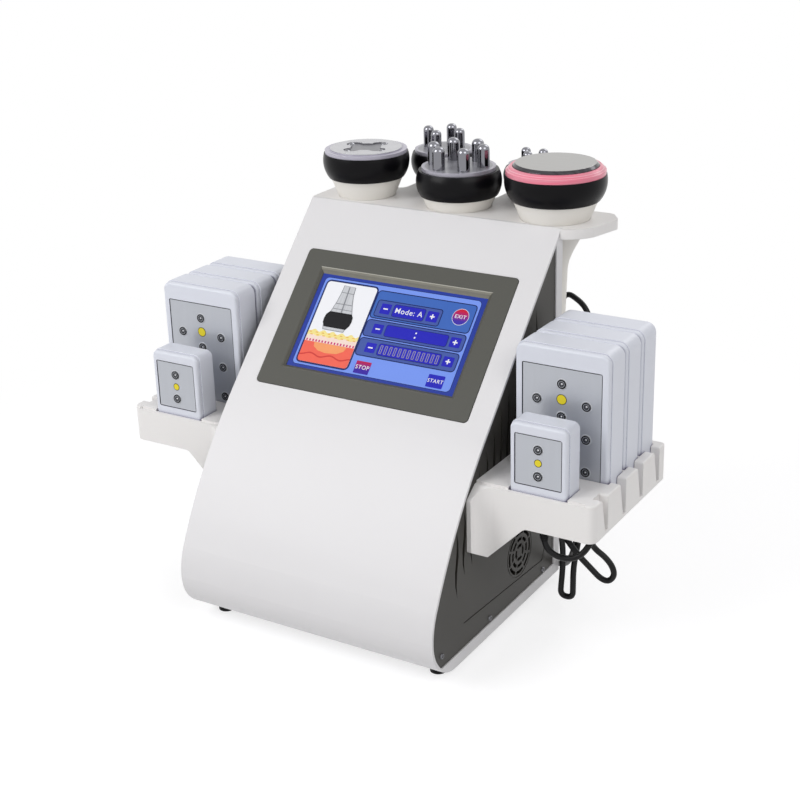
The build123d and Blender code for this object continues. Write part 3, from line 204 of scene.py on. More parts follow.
def reach_of(n, l, xyz, centre):
    """Distance of a place from the upright axis through the centre."""
    flat = n.new("ShaderNodeCombineXYZ")
    l.new(xyz["X"], flat.inputs["X"])
    l.new(xyz["Y"], flat.inputs["Y"])
    centred = n.new("ShaderNodeVectorMath")
    centred.operation = "SUBTRACT"
    centred.inputs[1].default_value = (centre.x, centre.y, 0)
    l.new(flat.outputs["Vector"], centred.inputs[0])
    reach = n.new("ShaderNodeVectorMath")
    reach.operation = "LENGTH"
    l.new(centred.outputs["Vector"], reach.inputs[0])
    return reach.outputs["Value"]


def pin_head(name, spot, disc_z, rim_r):
    """Grey disc below disc_z, paler outside rim_r, and chrome pins above it."""
    mat, n, l, bsdf = tree(name)
    where = n.new("ShaderNodeTexCoord").outputs["Object"]
    xyz = split(n, l, where)
    high = above(n, l, xyz["Z"], disc_z)
    rim = above(n, l, reach_of(n, l, xyz, spot), rim_r)
    speck = noise(n, l, where, 60)
    face = blend_colors(n, l, speck, srgb(128, 128, 134), srgb(150, 150, 156))
    edge = blend_colors(n, l, speck, srgb(158, 156, 168), srgb(182, 180, 190))
    disc = blend_colors(n, l, rim, face, edge)
    l.new(blend_colors(n, l, high, disc, srgb(134, 134, 140)), bsdf.inputs["Base Color"])
    spread(n, l, high, 0.3, 0.06, bsdf.inputs["Roughness"])
    spread(n, l, high, 0.25, 1.0, bsdf.inputs["Metallic"])
    surface(n, l, bsdf, where, 500, 0.01, 0.0003)
    return mat


def arc_plate(name, spot, ring_z, rim_r):
    """Pale ring plate above ring_z, violet-grey rim outside rim_r and a darker centre."""
    mat, n, l, bsdf = tree(name)
    where = n.new("ShaderNodeTexCoord").outputs["Object"]
    xyz = split(n, l, where)
    ring = above(n, l, xyz["Z"], ring_z)
    rim = above(n, l, reach_of(n, l, xyz, spot), rim_r)
    speck = noise(n, l, where, 40)
    centre = blend_colors(n, l, speck, srgb(92, 92, 98), srgb(116, 116, 122))
    edge = blend_colors(n, l, speck, srgb(168, 165, 180), srgb(190, 187, 200))
    raised = blend_colors(n, l, speck, srgb(176, 176, 180), srgb(196, 196, 200))
    disc = blend_colors(n, l, rim, centre, edge)
    l.new(blend_colors(n, l, ring, disc, raised), bsdf.inputs["Base Color"])
    spread(n, l, ring, 0.3, 0.24, bsdf.inputs["Roughness"])
    spread(n, l, ring, 0.1, 0.55, bsdf.inputs["Metallic"])
    surface(n, l, bsdf, where, 500, 0.01, 0.0003)
    return mat


SCREEN_GLOW = 0.42


def two_way(name, top_color, foot_color, top_z, foot_z):
    """Lit key whose colour runs from one at its top to another at its foot."""
    mat, n, l, bsdf = tree(name)
    where = n.new("ShaderNodeTexCoord").outputs["Object"]
    span = n.new("ShaderNodeMapRange")
    span.inputs["From Min"].default_value = foot_z
    span.inputs["From Max"].default_value = top_z
    l.new(split(n, l, where)["Z"], span.inputs["Value"])
    color = blend_colors(n, l, span.outputs["Result"], foot_color, top_color)
    half = [tuple(c / 2 for c in shade) for shade in (foot_color, top_color)]
    l.new(blend_colors(n, l, span.outputs["Result"], *half), bsdf.inputs["Base Color"])
    l.new(color, bsdf.inputs["Emission Color"])
    bsdf.inputs["Emission Strength"].default_value = SCREEN_GLOW
    bsdf.inputs["Specular IOR Level"].default_value = 0.12
    bsdf.inputs["Roughness"].default_value = 0.3
    return mat


WHITE = finish("shell white", srgb(218, 217, 219), rough=0.36, coat=0.05, mottle=0.012)
TRAY = finish("holder white", srgb(231, 229, 228), rough=0.4, mottle=0.015)
GRIP = finish("grip white", srgb(233, 230, 224), rough=0.38, mottle=0.012)
PAD = finish("pad white", srgb(214, 217, 227), rough=0.34, coat=0.08, mottle=0.015)
# Painted shade: the pads darken to lilac in their grooves and in the gaps between them
shade_crevices(PAD, srgb(112, 108, 140), 0.005)
GREY = finish("panel grey", srgb(51, 49, 45), rough=0.42, grain=900, bump=0.05)
BEZEL = finish("bezel grey", srgb(82, 82, 77), rough=0.42, grain=900, bump=0.04, gloss=0.2)
LIP = finish("bezel lip", srgb(74, 73, 66), rough=0.35, grain=700, bump=0.03, gloss=0.25)
# Painted light: the lip's top side is a lighter copy of its colour, as lit, and its outer top bevel a painted
# highlight
LIP_TOP_PAINTED_LIGHT = finish("bezel lip top painted light", srgb(122, 120, 110), rough=0.35, grain=700, bump=0.03,
                 mottle=0.12, stretch=(8, 1, 1), cloud_scale=14)
LIP_EDGE_PAINTED_HIGHLIGHT = finish("bezel lip edge painted highlight", srgb(168, 167, 157), rough=0.3, grain=700, bump=0.03, mottle=0.08)
BLACK = finish("collar black", srgb(10, 9, 12), rough=0.28, mottle=0.1, gloss=0.13)
DARK = finish("black plastic", srgb(16, 16, 18), rough=0.45, grain=700, bump=0.06, gloss=0.15)
RUBBER = finish("rubber", srgb(15, 15, 16), rough=0.6, grain=900, bump=0.1, gloss=0.15)
CORD = finish("cord sheath", srgb(17, 17, 18), rough=0.38, grain=500, bump=0.05, gloss=0.22)
CHROME = finish("chrome", srgb(140, 140, 145), rough=0.08, metal=1.0, bump=0.0, mottle=0.02)
SCREW = finish("screw steel", srgb(112, 112, 116), rough=0.3, metal=1.0, bump=0.01, mottle=0.05)
SILVER = finish("plate silver", srgb(186, 189, 196), rough=0.36, metal=0.6, grain=1200, bump=0.03,
                mottle=0.04, stretch=(3, 1, 0.15), cloud_scale=60)
METAL = finish("folded sheet", srgb(160, 162, 165), rough=0.38, metal=0.8, grain=900, bump=0.03)
GREEN = finish("board green", srgb(30, 96, 58), rough=0.5, grain=600, bump=0.1, mottle=0.1)
PINK = finish("light ring", srgb(250, 96, 132), rough=0.25, coat=0.2, mottle=0.0,
              second=srgb(214, 160, 172), stretch=(0.3, 0.3, 5), cloud_scale=80)
PINK_PAINTED_HIGHLIGHT = finish("light ring painted highlight", srgb(252, 188, 200), rough=0.2, mottle=0.1, cloud_scale=90)
GOLD = finish("contact gold", srgb(212, 175, 96), rough=0.25, metal=1.0)
LENS = finish("diode lens", srgb(86, 88, 94), rough=0.15, coat=0.2, mottle=0.2, cloud_scale=300)
HALO = finish("diode bezel", srgb(206, 209, 215), rough=0.3, mottle=0.03)
# Colour of the painted highlight on each diode lens
DIODE_PAINTED_HIGHLIGHT = finish("diode painted highlight", srgb(235, 236, 240), rough=0.2)
YELLOW = finish("mark yellow", srgb(226, 208, 44), rough=0.4, mottle=0.05)


def screen_look(name, color, mottle=0.05, cloud_scale=90, stretch=(1, 1, 1)):
    """Lit colour behind dull glass: half of it shows the room's light, the rest its own."""
    return finish("screen " + name, color, rough=0.3, glow=SCREEN_GLOW, mottle=mottle, gloss=0.12,
                  cloud_scale=cloud_scale, bump=0.0, stretch=stretch)


GLASS = finish("screen glass", srgb(20, 28, 60), rough=0.15, gloss=0.3)
NAVY = screen_look("navy", srgb(18, 36, 96))
BORDER = screen_look("border", srgb(40, 62, 160), 0.08)
FIELD = screen_look("field", srgb(122, 154, 244), 0.05, 30)
GROUP = screen_look("group", srgb(64, 106, 190), 0.08, 40)
INNER = screen_look("inner group", srgb(70, 92, 168), 0.08, 60)
KEY = screen_look("key", srgb(36, 36, 188), 0.1)
PAPER = screen_look("white", srgb(246, 247, 252), 0.01)
BARS = screen_look("bars", srgb(152, 148, 176), 0.1)


def steel_face(name, top_z):
    """Brushed steel above top_z; below it a polished band whose dark, mottled colour is a painted reflection.
    """
    mat, n, l, bsdf = tree(name)
    where = n.new("ShaderNodeTexCoord").outputs["Object"]
    high = above(n, l, split(n, l, where)["Z"], top_z)
    brushed = n.new("ShaderNodeMapping")
    brushed.inputs["Scale"].default_value = (0.4, 9, 1)
    l.new(where, brushed.inputs["Vector"])
    speck = noise(n, l, brushed.outputs["Vector"], 60)
    top = blend_colors(n, l, speck, srgb(160, 159, 156), srgb(172, 171, 169))
    # The band is smoother for real, but its dark mottled colour is a painted reflection
    band = blend_colors(n, l, speck, srgb(50, 48, 52), srgb(92, 90, 94))
    l.new(blend_colors(n, l, high, band, top), bsdf.inputs["Base Color"])
    spread(n, l, high, 0.12, 0.3, bsdf.inputs["Roughness"])
    bsdf.inputs["Metallic"].default_value = 0.9
    surface(n, l, bsdf, where, 300, 0.01, 0.0006)
    return mat


looks = {
    "shell_white": WHITE, "panel_grey": GREY, "bezel_grey": BEZEL, "screen_glass": GLASS,
    "chassis_metal": METAL, "board_green": GREEN, "black_plastic": DARK, "screw_chrome": SCREW,
    "foot_rubber": RUBBER, "pad_white": PAD, "plate_silver": SILVER, "grip_white": GRIP,
    "collar_black": BLACK, "contact_grey": SILVER, "contact_steel": CHROME, "light_pink": PINK,
    "cord_black": CORD,
}
for entry in frame["record"]["subparts"]:
    shown = nodes[entry["node"]]
    shown.data.materials.clear()
    holder_piece = entry["node"] in ("handle_tray", "bracket_left", "bracket_right")
    shown.data.materials.append(TRAY if holder_piece else looks[entry["material_slot"]])


# Pieces
def add(obj):
    """Link an object to the scene."""
    bpy.context.scene.collection.objects.link(obj)
    return obj


def piece(name, shapes, material, body=None, smooth=False):
    """One mesh object made of several shapes, each a list of points and a list of faces."""
    verts, faces = [], []
    for points, polygons in shapes:
        base = len(verts)
        verts.extend(points)
        faces.extend([[base + i for i in polygon] for polygon in polygons])
    mesh = bpy.data.meshes.new(name)
    mesh.from_pydata([tuple(v) for v in verts], [], faces)
    mesh.materials.append(material)
    if smooth:
        mesh.polygons.foreach_set("use_smooth", [True] * len(mesh.polygons))
        mesh.set_sharp_from_angle(angle=radians(38))
    mesh.update()
    obj = add(bpy.data.objects.new(name, mesh))
    if body:
        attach(obj, body)
    return obj


def lathe(base, axis, profile, sides=32):
    """Turned shape: the profile's (radius, height) points, in millimetres, round an axis."""
    axis = Vector(axis).normalized()
    across = axis.orthogonal().normalized()
    other = axis.cross(across)
    points = []
    for r, h in profile:
        for i in range(sides):
            a = 2 * pi * i / sides
            points.append(base + (axis * h + (across * cos(a) + other * sin(a)) * r) * MM)
    faces = []
    for k in range(len(profile) - 1):
        for i in range(sides):
            j = (i + 1) % sides
            faces.append([k * sides + i, k * sides + j, (k + 1) * sides + j, (k + 1) * sides + i])
    return points, faces


def slab(outline, place, front, back):
    """Flat shape with thin walls; place turns (u, s, depth) into a point."""
    count = len(outline)
    points = [place(u, s, front) for u, s in outline] + [place(u, s, back) for u, s in outline]
    faces = [list(range(count))]
    faces += [[i, i + count, (i + 1) % count + count, (i + 1) % count] for i in range(count)]
    return points, faces


def rounded(x0, x1, y0, y1, r, steps=5):
    """Outline of a rectangle with round corners."""
    corners = [(x1 - r, y0 + r, -90), (x1 - r, y1 - r, 0), (x0 + r, y1 - r, 90), (x0 + r, y0 + r, 180)]
    outline = []
    for cx, cy, first in corners:
        for i in range(steps + 1):
            a = radians(first + 90 * i / steps)
            outline.append((cx + r * cos(a), cy + r * sin(a)))
    return outline


# Cords first: each is one smooth line through its lead, its coil and its tail.
# The line runs inside its points on a bend, so a coil's points lie further out by corner_gain.
cord_r = 2.75
coil_r = 37.0
coil_pitch = 7.2
coil_side_y = 75.0
coil_z = -347.65
layer_rise = 6.4
half_turns = 9
climb_turn = half_turns // 2
half_points = 8
corner_gain = 1.0196


def coil_points(x):
    """Two turns in, a climb of one layer and two turns out, sixteen points to a turn."""
    points = []
    for k in range(half_turns):
        first, last = (coil_r - coil_pitch / 2 * min(j, climb_turn, half_turns - j) for j in (k, k + 1))
        side = -1 if k % 2 == 0 else 1
        r = (first + last) / 2 * corner_gain
        y = coil_side_y + side * (first - last) / 2
        for i in range(half_points):
            share = (i + 0.5) / half_points
            a = radians(side * 90 - 180 * share)
            climb = 0 if k < climb_turn else 1 if k > climb_turn else share
            points.append((x + r * cos(a), y + r * sin(a), coil_z + layer_rise * climb))
    return points


pad_lead = [
    (191, -147, -220.7), (191, -147, -231),
    (195.5, -146, -240.5), (204, -143.5, -245.6), (214, -141, -245.8), (222.5, -138.5, -241),
    (227.5, -135, -233), (228.5, -128, -226.8), (226, -118, -226.5), (220, -108, -233),
    (214, -99, -243), (211, -93, -253), (214, -90, -260), (222, -88, -266), (229, -87, -274),
    (231, -86, -283.5), (225.5, -86, -291), (217.5, -86, -290), (208, -86, -282), (198.8, -87, -273.7),
    (192, -88, -266), (186.1, -88, -259.2), (180.5, -85.5, -255), (176.4, -81, -257),
    (175, -77, -266), (175.2, -75, -279), (174.6, -74, -297), (173, -73, -312), (172.2, -73, -324.5),
    (184.6, -73, -324.5), (184.8, -73, -313), (184.8, -73, -298), (186, -73, -285), (187.4, -71, -273),
    (187, -67, -264), (184.5, -61, -262),
    (180.5, -55, -268), (171.8, -42, -287.5), (160.1, -24, -310.1), (147.5, -6, -328.8),
    (135, 8, -340), (122.3, 18, -345), (108, 28, coil_z + 1), (93, 35, coil_z),
    (76, 38, coil_z), (60.5, 38, coil_z),
    *coil_points(55),
    (60.5, 112, coil_z + layer_rise), (80, 112, coil_z + layer_rise), (97, 110, -331),
    (109, 102, -314), (111, 91, -293), (105, 80, -271), (93, 69, -250), (80, 61, -233),
    (65, 50, -220), (65, 33, -220),
]
hand_lead = [
    (111.5, 34.5, -106), (111.5, 34.5, -121),
    (109, 44, -132), (104, 57, -135), (99, 68, -128), (97, 73, -114), (98, 75, -99), (103, 74, -88),
    (109.5, 72, -85.5), (115.3, 70, -87), (123.5, 68, -90.7), (129.3, 66, -95.3), (133.8, 64, -102),
    (139, 61, -115), (142, 57, -132), (142.5, 53, -154), (138, 52, -182), (130, 54, -210),
    (118, 58, -238), (100, 60, -266), (76, 60, -290), (50, 56, -311), (26, 49, -328), (5, 42, -341),
    (-12, 38, coil_z), (-29.5, 38, coil_z),
    *coil_points(-35),
    (-29.5, 112, coil_z + layer_rise), (-10, 112, coil_z + layer_rise), (8, 110, -331),
    (19, 104, -313), (23, 96, -289), (22, 89, -262), (17, 84, -234), (10, 79, -208), (4, 74, -186),
    (0, 61, -170), (0, 43, -170),
]


def route(name, places):
    """Points along one smooth curve that the places steer."""
    curve = bpy.data.curves.new(name, "CURVE")
    curve.dimensions = "3D"
    curve.resolution_u = 6
    spline = curve.splines.new("NURBS")
    spline.points.add(len(places) - 1)
    for point, place in zip(spline.points, places):
        point.co = (*at(*place), 1)
    spline.order_u = 3
    spline.use_endpoint_u = True
    spline.resolution_u = 6
    holder = add(bpy.data.objects.new(name, curve))
    bpy.context.view_layer.update()
    line = bpy.data.meshes.new_from_object(holder)
    path = [v.co.copy() for v in line.vertices]
    bpy.data.objects.remove(holder)
    return path


def lengths(path):
    """Distance along the path at each of its points, in metres."""
    run = [0.0]
    for a, b in zip(path, path[1:]):
        run.append(run[-1] + (b - a).length)
    return run


def tube(name, path, radius, material, sides=14):
    """Round tube along a path; radius gives the millimetres at a distance along it."""
    run = lengths(path)
    side = (path[1] - path[0]).orthogonal().normalized()
    points, faces = [], []
    for i, p in enumerate(path):
        way = (path[min(i + 1, len(path) - 1)] - path[max(i - 1, 0)]).normalized()
        side = (side - way * side.dot(way)).normalized()
        other = way.cross(side)
        r = radius(run[i] / MM) * MM
        for k in range(sides):
            a = 2 * pi * k / sides
            points.append(p + (side * cos(a) + other * sin(a)) * r)
        if i:
            low, high = (i - 1) * sides, i * sides
            for k in range(sides):
                j = (k + 1) % sides
                faces.append([low + k, low + j, high + j, high + k])
    faces.append(list(range(sides))[::-1])
    faces.append([len(points) - sides + k for k in range(sides)])
    return piece(name, [(points, faces)], material, smooth=True)


def part_of(path, start, end, step=0.6):
    """The stretch of a path between two distances in millimetres, in even steps."""
    run = lengths(path)
    found, i = [], 0
    count = int((end - start) / step)
    for k in range(count + 1):
        want = (start + (end - start) * k / count) * MM
        while i < len(run) - 2 and run[i + 1] < want:
            i += 1
        share = (want - run[i]) / (run[i + 1] - run[i])
        found.append(path[i].lerp(path[i + 1], min(1, max(0, share))))
    return found


def relief(wide, narrow, reach):
    """Tapered strain relief with four shallow ribs: its radius along its length."""
    def radius(d):
        share = min(1, d / reach)
        rib = 0.28 if 0.12 < share < 0.92 and (share * 9) % 2 < 1 else 0
        return wide + (narrow - wide) * share + rib
    return radius


def cord(name, places, body, sleeve_sizes):
    """One lead with its two strain reliefs; the relief at its start follows the body and the one at its end
    the console, while the lead itself stays fixed.
    """
    path = route(name + "_route", places)
    total = lengths(path)[-1] / MM
    line = tube(name + "_cord", path, lambda d: cord_r, CORD)
    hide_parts(name, name + "_coil", name + "_tail")
    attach(line, "console")
    bpy.context.view_layer.update()
    line.parent = None
    line.matrix_world = Matrix.Identity(4)
    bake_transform(line)
    (near_wide, near_narrow, near_l), (far_wide, far_narrow, far_l) = sleeve_sizes
    near_path = part_of(path, 0, near_l)
    near = tube(name + "_relief", near_path, relief(near_wide, near_narrow, near_l), RUBBER,
                20)
    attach(near, body)
    far_path = part_of(path, total - far_l, total)[::-1]
    far = tube(name + "_plug_relief", far_path, relief(far_wide, far_narrow, far_l), RUBBER,
               20)
    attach(far, "console")
    print(name, "length", round(total), "mm")


cord("pad_lead", pad_lead, "pad_right_small",
     sleeve_sizes=((4.2, 3.1, 10), (3.5, 3.0, 15)))
cord("hand_lead", hand_lead, "cavitation_handpiece",
     sleeve_sizes=((4.3, 3.1, 14), (4.8, 3.1, 16)))

# Heads: their axes and heights are counted from the brow, and each disc has a top and a radius.
# The look changes with the height: pins from pin_start above a disc, the arc head's raised ring
# from arc_ring_from and brushed steel from steel_from.
UP = (0, 0, 1)
head_spots = {"arc": (-92.3, 34.5), "four_pin": (-40.0, 96.0), "six_pin": (10.6, 34.5),
              "three_pin": (57.0, 96.0), "cavitation": (111.5, 34.5)}
pin_discs = {"four_pin": (37.7, 29.0), "six_pin": (38.2, 35.2), "three_pin": (31.7, 23.0)}
pin_start = 0.15
pin_rim_w = 3.2
for name, (top, disc_r) in pin_discs.items():
    disc_z = (BROW.z + top + pin_start) * MM
    rim_r = disc_r * MM - pin_rim_w * MM
    look = pin_head(name + " contact", at(*head_spots[name], 0), disc_z, rim_r)
    nodes[name + "_contact"].data.materials[0] = look
arc_ring_from = 45.9
arc_rim_r = 34.8
arc_look = arc_plate("arc contact", at(*head_spots["arc"], 0), (BROW.z + arc_ring_from) * MM,
                     arc_rim_r * MM)
nodes["arc_contact"].data.materials[0] = arc_look
steel_from = 51.4
steel_look = steel_face("steel face", (BROW.z + steel_from) * MM)
nodes["cavitation_contact"].data.materials[0] = steel_look

# Painted highlights: two pale bands round the light ring's upper half, which leans in by ring_in as it rises
# by ring_up
ring_foot_r = 45.86
ring_foot_z = 44.80
ring_in = 4.0
ring_up = 3.75
painted_ring_highlights = []
for share, width in ((0.12, 0.06), (0.52, 0.09)):
    profile = [(ring_foot_r - ring_in * t, ring_foot_z + ring_up * t) for t in (share, share + width)]
    painted_ring_highlights.append(lathe(at(*head_spots["cavitation"], 0), UP, profile, 64))
piece("cavitation_ring_painted_highlights", painted_ring_highlights, PINK_PAINTED_HIGHLIGHT, "cavitation_handpiece", smooth=True)

# Thin chrome skins on the four domes of the arc head, just proud of the part's own
arc_x, arc_y = head_spots["arc"]
dome_count = 4
dome_first = -19.5
dome_circle = 23.5
dome_z = 43.0
dome_r = 4.44
dome_profile = [(dome_r * sin(radians(t)), dome_r * cos(radians(t))) for t in range(0, 66, 6)]
domes = []
for k in range(dome_count):
    a = radians(dome_first + 360 / dome_count * k)
    base = at(arc_x + dome_circle * cos(a), arc_y + dome_circle * sin(a), dome_z)
    domes.append(lathe(base, UP, dome_profile, 28))
piece("arc_domes", domes, CHROME, "arc_handpiece", smooth=True)

# Pads: diode rings, lenses and a plain yellow dot on each plate, which has a width and a height.
# Diodes are placed by shares of the plate, across from its middle and down from its top.
# A dot has its radius and its share down from the plate's top.
FRONT = (0, -1, 0)
pad_x = 191
pad_foot = -212.7
pad_fronts = {"small": -159.5, "front": -115.5, "middle": -82.0, "rear": -48.5}
plate_lift = 0.2
small_pad_h = 92.7
small_plate = (43.5, 46.0)
small_plate_drop = 10.0
small_diodes = [(0, 0.261), (0, 0.783)]
small_dot = (3.0, 0.522)
large_pad_h = 146.0
large_plate = (74.0, 112.0)
large_plate_drop = 17.3
large_diodes = [(0, 0.13), (-0.311, 0.277), (0.311, 0.277), (0, 0.393),
                (-0.311, 0.545), (0.311, 0.545), (-0.311, 0.8125), (0.311, 0.8125)]
large_dot = (4.2, 0.255)
can_profile = [(4.25, 0), (4.25, 0.75), (3.9, 0.86), (3.0, 0.86), (2.6, 0.5)]
core_profile = [(2.05, 0.5), (1.9, 0.84), (1.3, 0.84), (1.2, 0.6)]
bezel_profile = [(5.1, 0), (5.0, 0.12), (4.25, 0.12)]
lens_profile = [(2.7, 0.81), (0.0, 0.84)]
painted_highlight_profile = [(0.7, 0.86), (0.0, 0.93)]
# A small pale dot up and to the right of each lens centre is a painted highlight
painted_highlight_off = 0.5


def diodes(body, places, plate_y):
    """Dark cans, pale bezels, lenses and a small painted highlight at each place of a plate."""
    cans, bezels, lenses, painted_highlights = [], [], [], []
    for x, z in places:
        base = at(x, plate_y, z)
        cans.append(lathe(base, FRONT, can_profile, 28))
        cans.append(lathe(base, FRONT, core_profile, 24))
        bezels.append(lathe(base, FRONT, bezel_profile, 28))
        lenses.append(lathe(base, FRONT, lens_profile, 24))
        painted_highlights.append(lathe(at(x + painted_highlight_off, plate_y, z + painted_highlight_off), FRONT, painted_highlight_profile, 16))
    piece(body + "_diode_rings", cans, DARK, body, smooth=True)
    piece(body + "_diode_bezels", bezels, HALO, body)
    piece(body + "_diode_lenses", lenses, LENS, body)
    piece(body + "_diode_painted_highlights", painted_highlights, DIODE_PAINTED_HIGHLIGHT, body)


def dot(body, place, r):
    """Plain yellow dot with a dark rim."""
    rim = lathe(place, FRONT, [(r + 0.6, 0), (r + 0.5, 0.07), (0, 0.07)])
    piece(body + "_mark_rim", [rim], DARK, body)
    face = lathe(place, FRONT, [(r, 0.05), (r, 0.12), (0, 0.12)])
    piece(body + "_mark", [face], YELLOW, body)


def plate_edge(body, x0, x1, z0, z1, plate_y):
    """Thin dark line round a plate, widest on its left side."""
    def facing(u, s, depth):
        return at(u, plate_y + depth, s)
    left_w = 0.7
    right_w = 0.4
    level_w = 0.5
    proud = 0.04
    bars = [(x0, x0 + left_w, z0, z1), (x1 - right_w, x1, z0, z1),
            (x0, x1, z1 - level_w, z1), (x0, x1, z0, z0 + level_w)]
    lines = [slab([(a, c), (b, c), (b, d), (a, d)], facing, -proud, 0) for a, b, c, d in bars]
    piece(body + "_plate_edge", lines, DARK, body)


for side_name, side in (("left", -1), ("right", 1)):
    for kind, front in pad_fronts.items():
        body = f"pad_{side_name}_{kind}"
        if kind == "small":
            wide, high = small_plate
            top = pad_foot + small_pad_h - small_plate_drop
            shares_of_plate = small_diodes
            dot_r, dot_share = small_dot
        else:
            wide, high = large_plate
            top = pad_foot + large_pad_h - large_plate_drop
            shares_of_plate = large_diodes
            dot_r, dot_share = large_dot
        x = side * pad_x
        plate_y = front + plate_lift
        diodes(body, [(x + a * wide, top - b * high) for a, b in shares_of_plate], plate_y)
        dot(body, at(x, plate_y, top - high * dot_share), dot_r)
        plate_edge(body, x - wide / 2, x + wide / 2, top - high, top, plate_y)

# Screws: a thin dark cross laid on each head, painted shade that stands in for its recess
nose_reach = 242
screw_x = 134.24
screw_spots = [(-0.928 * nose_reach, -320.5), (-0.568 * nose_reach, -327.1), (-0.126 * nose_reach, -328.1)]
cross_turn = 0.35
cross_corners = [(-1.5, -0.32), (1.5, -0.32), (1.5, 0.32), (-1.5, 0.32)]
cross_rise = 0.03
cross_faces = [[4, 5, 6, 7], [0, 1, 5, 4], [1, 2, 6, 5], [2, 3, 7, 6], [3, 0, 4, 7]]
painted_recess_shades = []
for side in (-1, 1):
    rise = Vector((side * cross_rise * MM, 0, 0))
    for y, z in screw_spots:
        screw = at(side * screw_x, y, z)
        for a in (cross_turn, cross_turn + pi / 2):
            along = Vector((0, cos(a), sin(a)))
            across = Vector((0, -sin(a), cos(a)))
            points = [screw + (along * u + across * v) * MM for u, v in cross_corners]
            points += [p + rise for p in points]
            painted_recess_shades.append((points, cross_faces))
piece("screw_recess_painted_shades", painted_recess_shades, DARK, "console")

# Rear sockets: a metal nut on each that holds no plug, and gold pins in the large ones
BACK = (0, 1, 0)
back_y = 5.0
socket_count = 5
socket_pitch = 40.0
socket_z = -170
plugged_socket = 2
socket_profile = [(10.2, 0), (10.2, 0.5), (9.6, 0.9), (7.0, 0.9), (6.3, 0.2), (6.3, -1.5)]
pin_count = 5
pin_circle = 3.4
pin_y = 1.6
pin_profile = [(0.75, 0), (0.75, 2.6), (0.4, 3.0), (0, 3.05)]
jack_count = 8
jack_pitch = 26.0
jack_z = -220
plugged_jack = 6
jack_profile = [(4.6, 0), (4.6, 0.4), (4.2, 0.8), (2.6, 0.8), (1.9, 0.2), (1.9, -1.5)]
nuts, pins = [], []
for i in range(socket_count):
    if i != plugged_socket:
        x = (i - (socket_count - 1) / 2) * socket_pitch
        nuts.append(lathe(at(x, back_y, socket_z), BACK, socket_profile, 40))
        for k in range(pin_count):
            a = radians(90 + 360 / pin_count * k)
            base = at(x + pin_circle * cos(a), pin_y, socket_z + pin_circle * sin(a))
            pins.append(lathe(base, BACK, pin_profile, 12))
for i in range(jack_count):
    if i != plugged_jack:
        x = (i - (jack_count - 1) / 2) * jack_pitch
        nuts.append(lathe(at(x, back_y, jack_z), BACK, jack_profile, 36))
piece("socket_nuts", nuts, CHROME, "console", smooth=True)
piece("socket_pins", pins, GOLD, "console", smooth=True)

# Screen: a lit page of plain keys, read as shares of the display from its top left corner
DISPLAY_W = 177.2
DISPLAY_H = 98.9
SCREEN_S = 126.0
SHEET = 0.07
BAR_SHEET = 0.06


def shares(x, y):
    """Place on the slope, across and down, of a share of the display."""
    return (x - 0.5) * DISPLAY_W, SCREEN_S + (y - 0.5) * DISPLAY_H


def key(x0, x1, y0, y1, r, depth):
    """Flat key with round corners."""
    (a, c), (b, d) = shares(x0, y0), shares(x1, y1)
    return slab(rounded(a, b, c, d, r), on_slope, depth, depth + SHEET)


def drawn(points, depth):
    """Flat shape with corners at the points."""
    return slab([shares(x, y) for x, y in points], on_slope, depth, depth + SHEET)


def bar(x, y, w, h, depth):
    """Small rectangle round a point; its width and height are in millimetres."""
    u, s = shares(x, y)
    corners = [(u - w / 2, s - h / 2), (u + w / 2, s - h / 2), (u + w / 2, s + h / 2), (u - w / 2, s + h / 2)]
    return slab(corners, on_slope, depth, depth + BAR_SHEET)


def words(text, x, y, size, depth):
    """Letters as flat faces on the screen."""
    font = bpy.data.curves.new("words", "FONT")
    font.body = text
    font.size = size * MM
    font.offset = 0.006 * size * MM
    font.space_character = 1.12
    font.align_x = "CENTER"
    font.align_y = "CENTER"
    holder = add(bpy.data.objects.new("words", font))
    bpy.context.view_layer.update()
    letters = bpy.data.meshes.new_from_object(holder)
    bpy.data.objects.remove(holder)
    u, s = shares(x, y)
    lean = Matrix((Vector((1, 0, 0)), -DOWN, OUT)).transposed().to_4x4()
    letters.transform(Matrix.Translation(on_slope(u, s, depth)) @ lean)
    return [v.co.copy() for v in letters.vertices], [list(p.vertices) for p in letters.polygons]


def ring_key(x0, x1, y0, y1, r, depth, wide):
    """Outline of a key: a frame of the given width round its edge."""
    (a, c), (b, d) = shares(x0, y0), shares(x1, y1)
    outer = rounded(a - wide, b + wide, c - wide, d + wide, r + wide)
    inner = rounded(a, b, c, d, r)
    count = len(outer)
    points = [on_slope(u, v, depth) for u, v in outer + inner]
    return points, [[i, (i + 1) % count, (i + 1) % count + count, i + count] for i in range(count)]


def wave_edge(x0, x1, y, lift, phase, turns, count=48):
    """Points of a wavy line across the picture."""
    points = []
    for i in range(count + 1):
        points.append((x0 + (x1 - x0) * i / count, y + lift * sin(phase + 2 * pi * turns * i / count)))
    return points


# Boxes on the display as (x0, x1, y0, y1), and the centre of the round key
PAGE = (0.028, 0.972, 0.045, 0.965)
PICTURE = (0.05, 0.36, 0.08, 0.93)
ROWS = {"top": (0.375, 0.955, 0.10, 0.375), "middle": (0.375, 0.955, 0.405, 0.565),
        "low": (0.375, 0.955, 0.595, 0.765)}
MODE_BOX = (0.395, 0.775, 0.195, 0.355)
MINUS = [(0.420, 0.480, 0.222, 0.327), (0.420, 0.480, 0.437, 0.535), (0.420, 0.480, 0.632, 0.730)]
PLUS = [(0.697, 0.762, 0.222, 0.327), (0.878, 0.938, 0.437, 0.535), (0.878, 0.938, 0.632, 0.730)]
FIELDS = [(0.497, 0.682, 0.215, 0.335), (0.497, 0.862, 0.430, 0.542), (0.497, 0.862, 0.624, 0.738)]
EXIT_AT = (0.885, 0.232)
STOP_KEY = (0.403, 0.492, 0.825, 0.950)
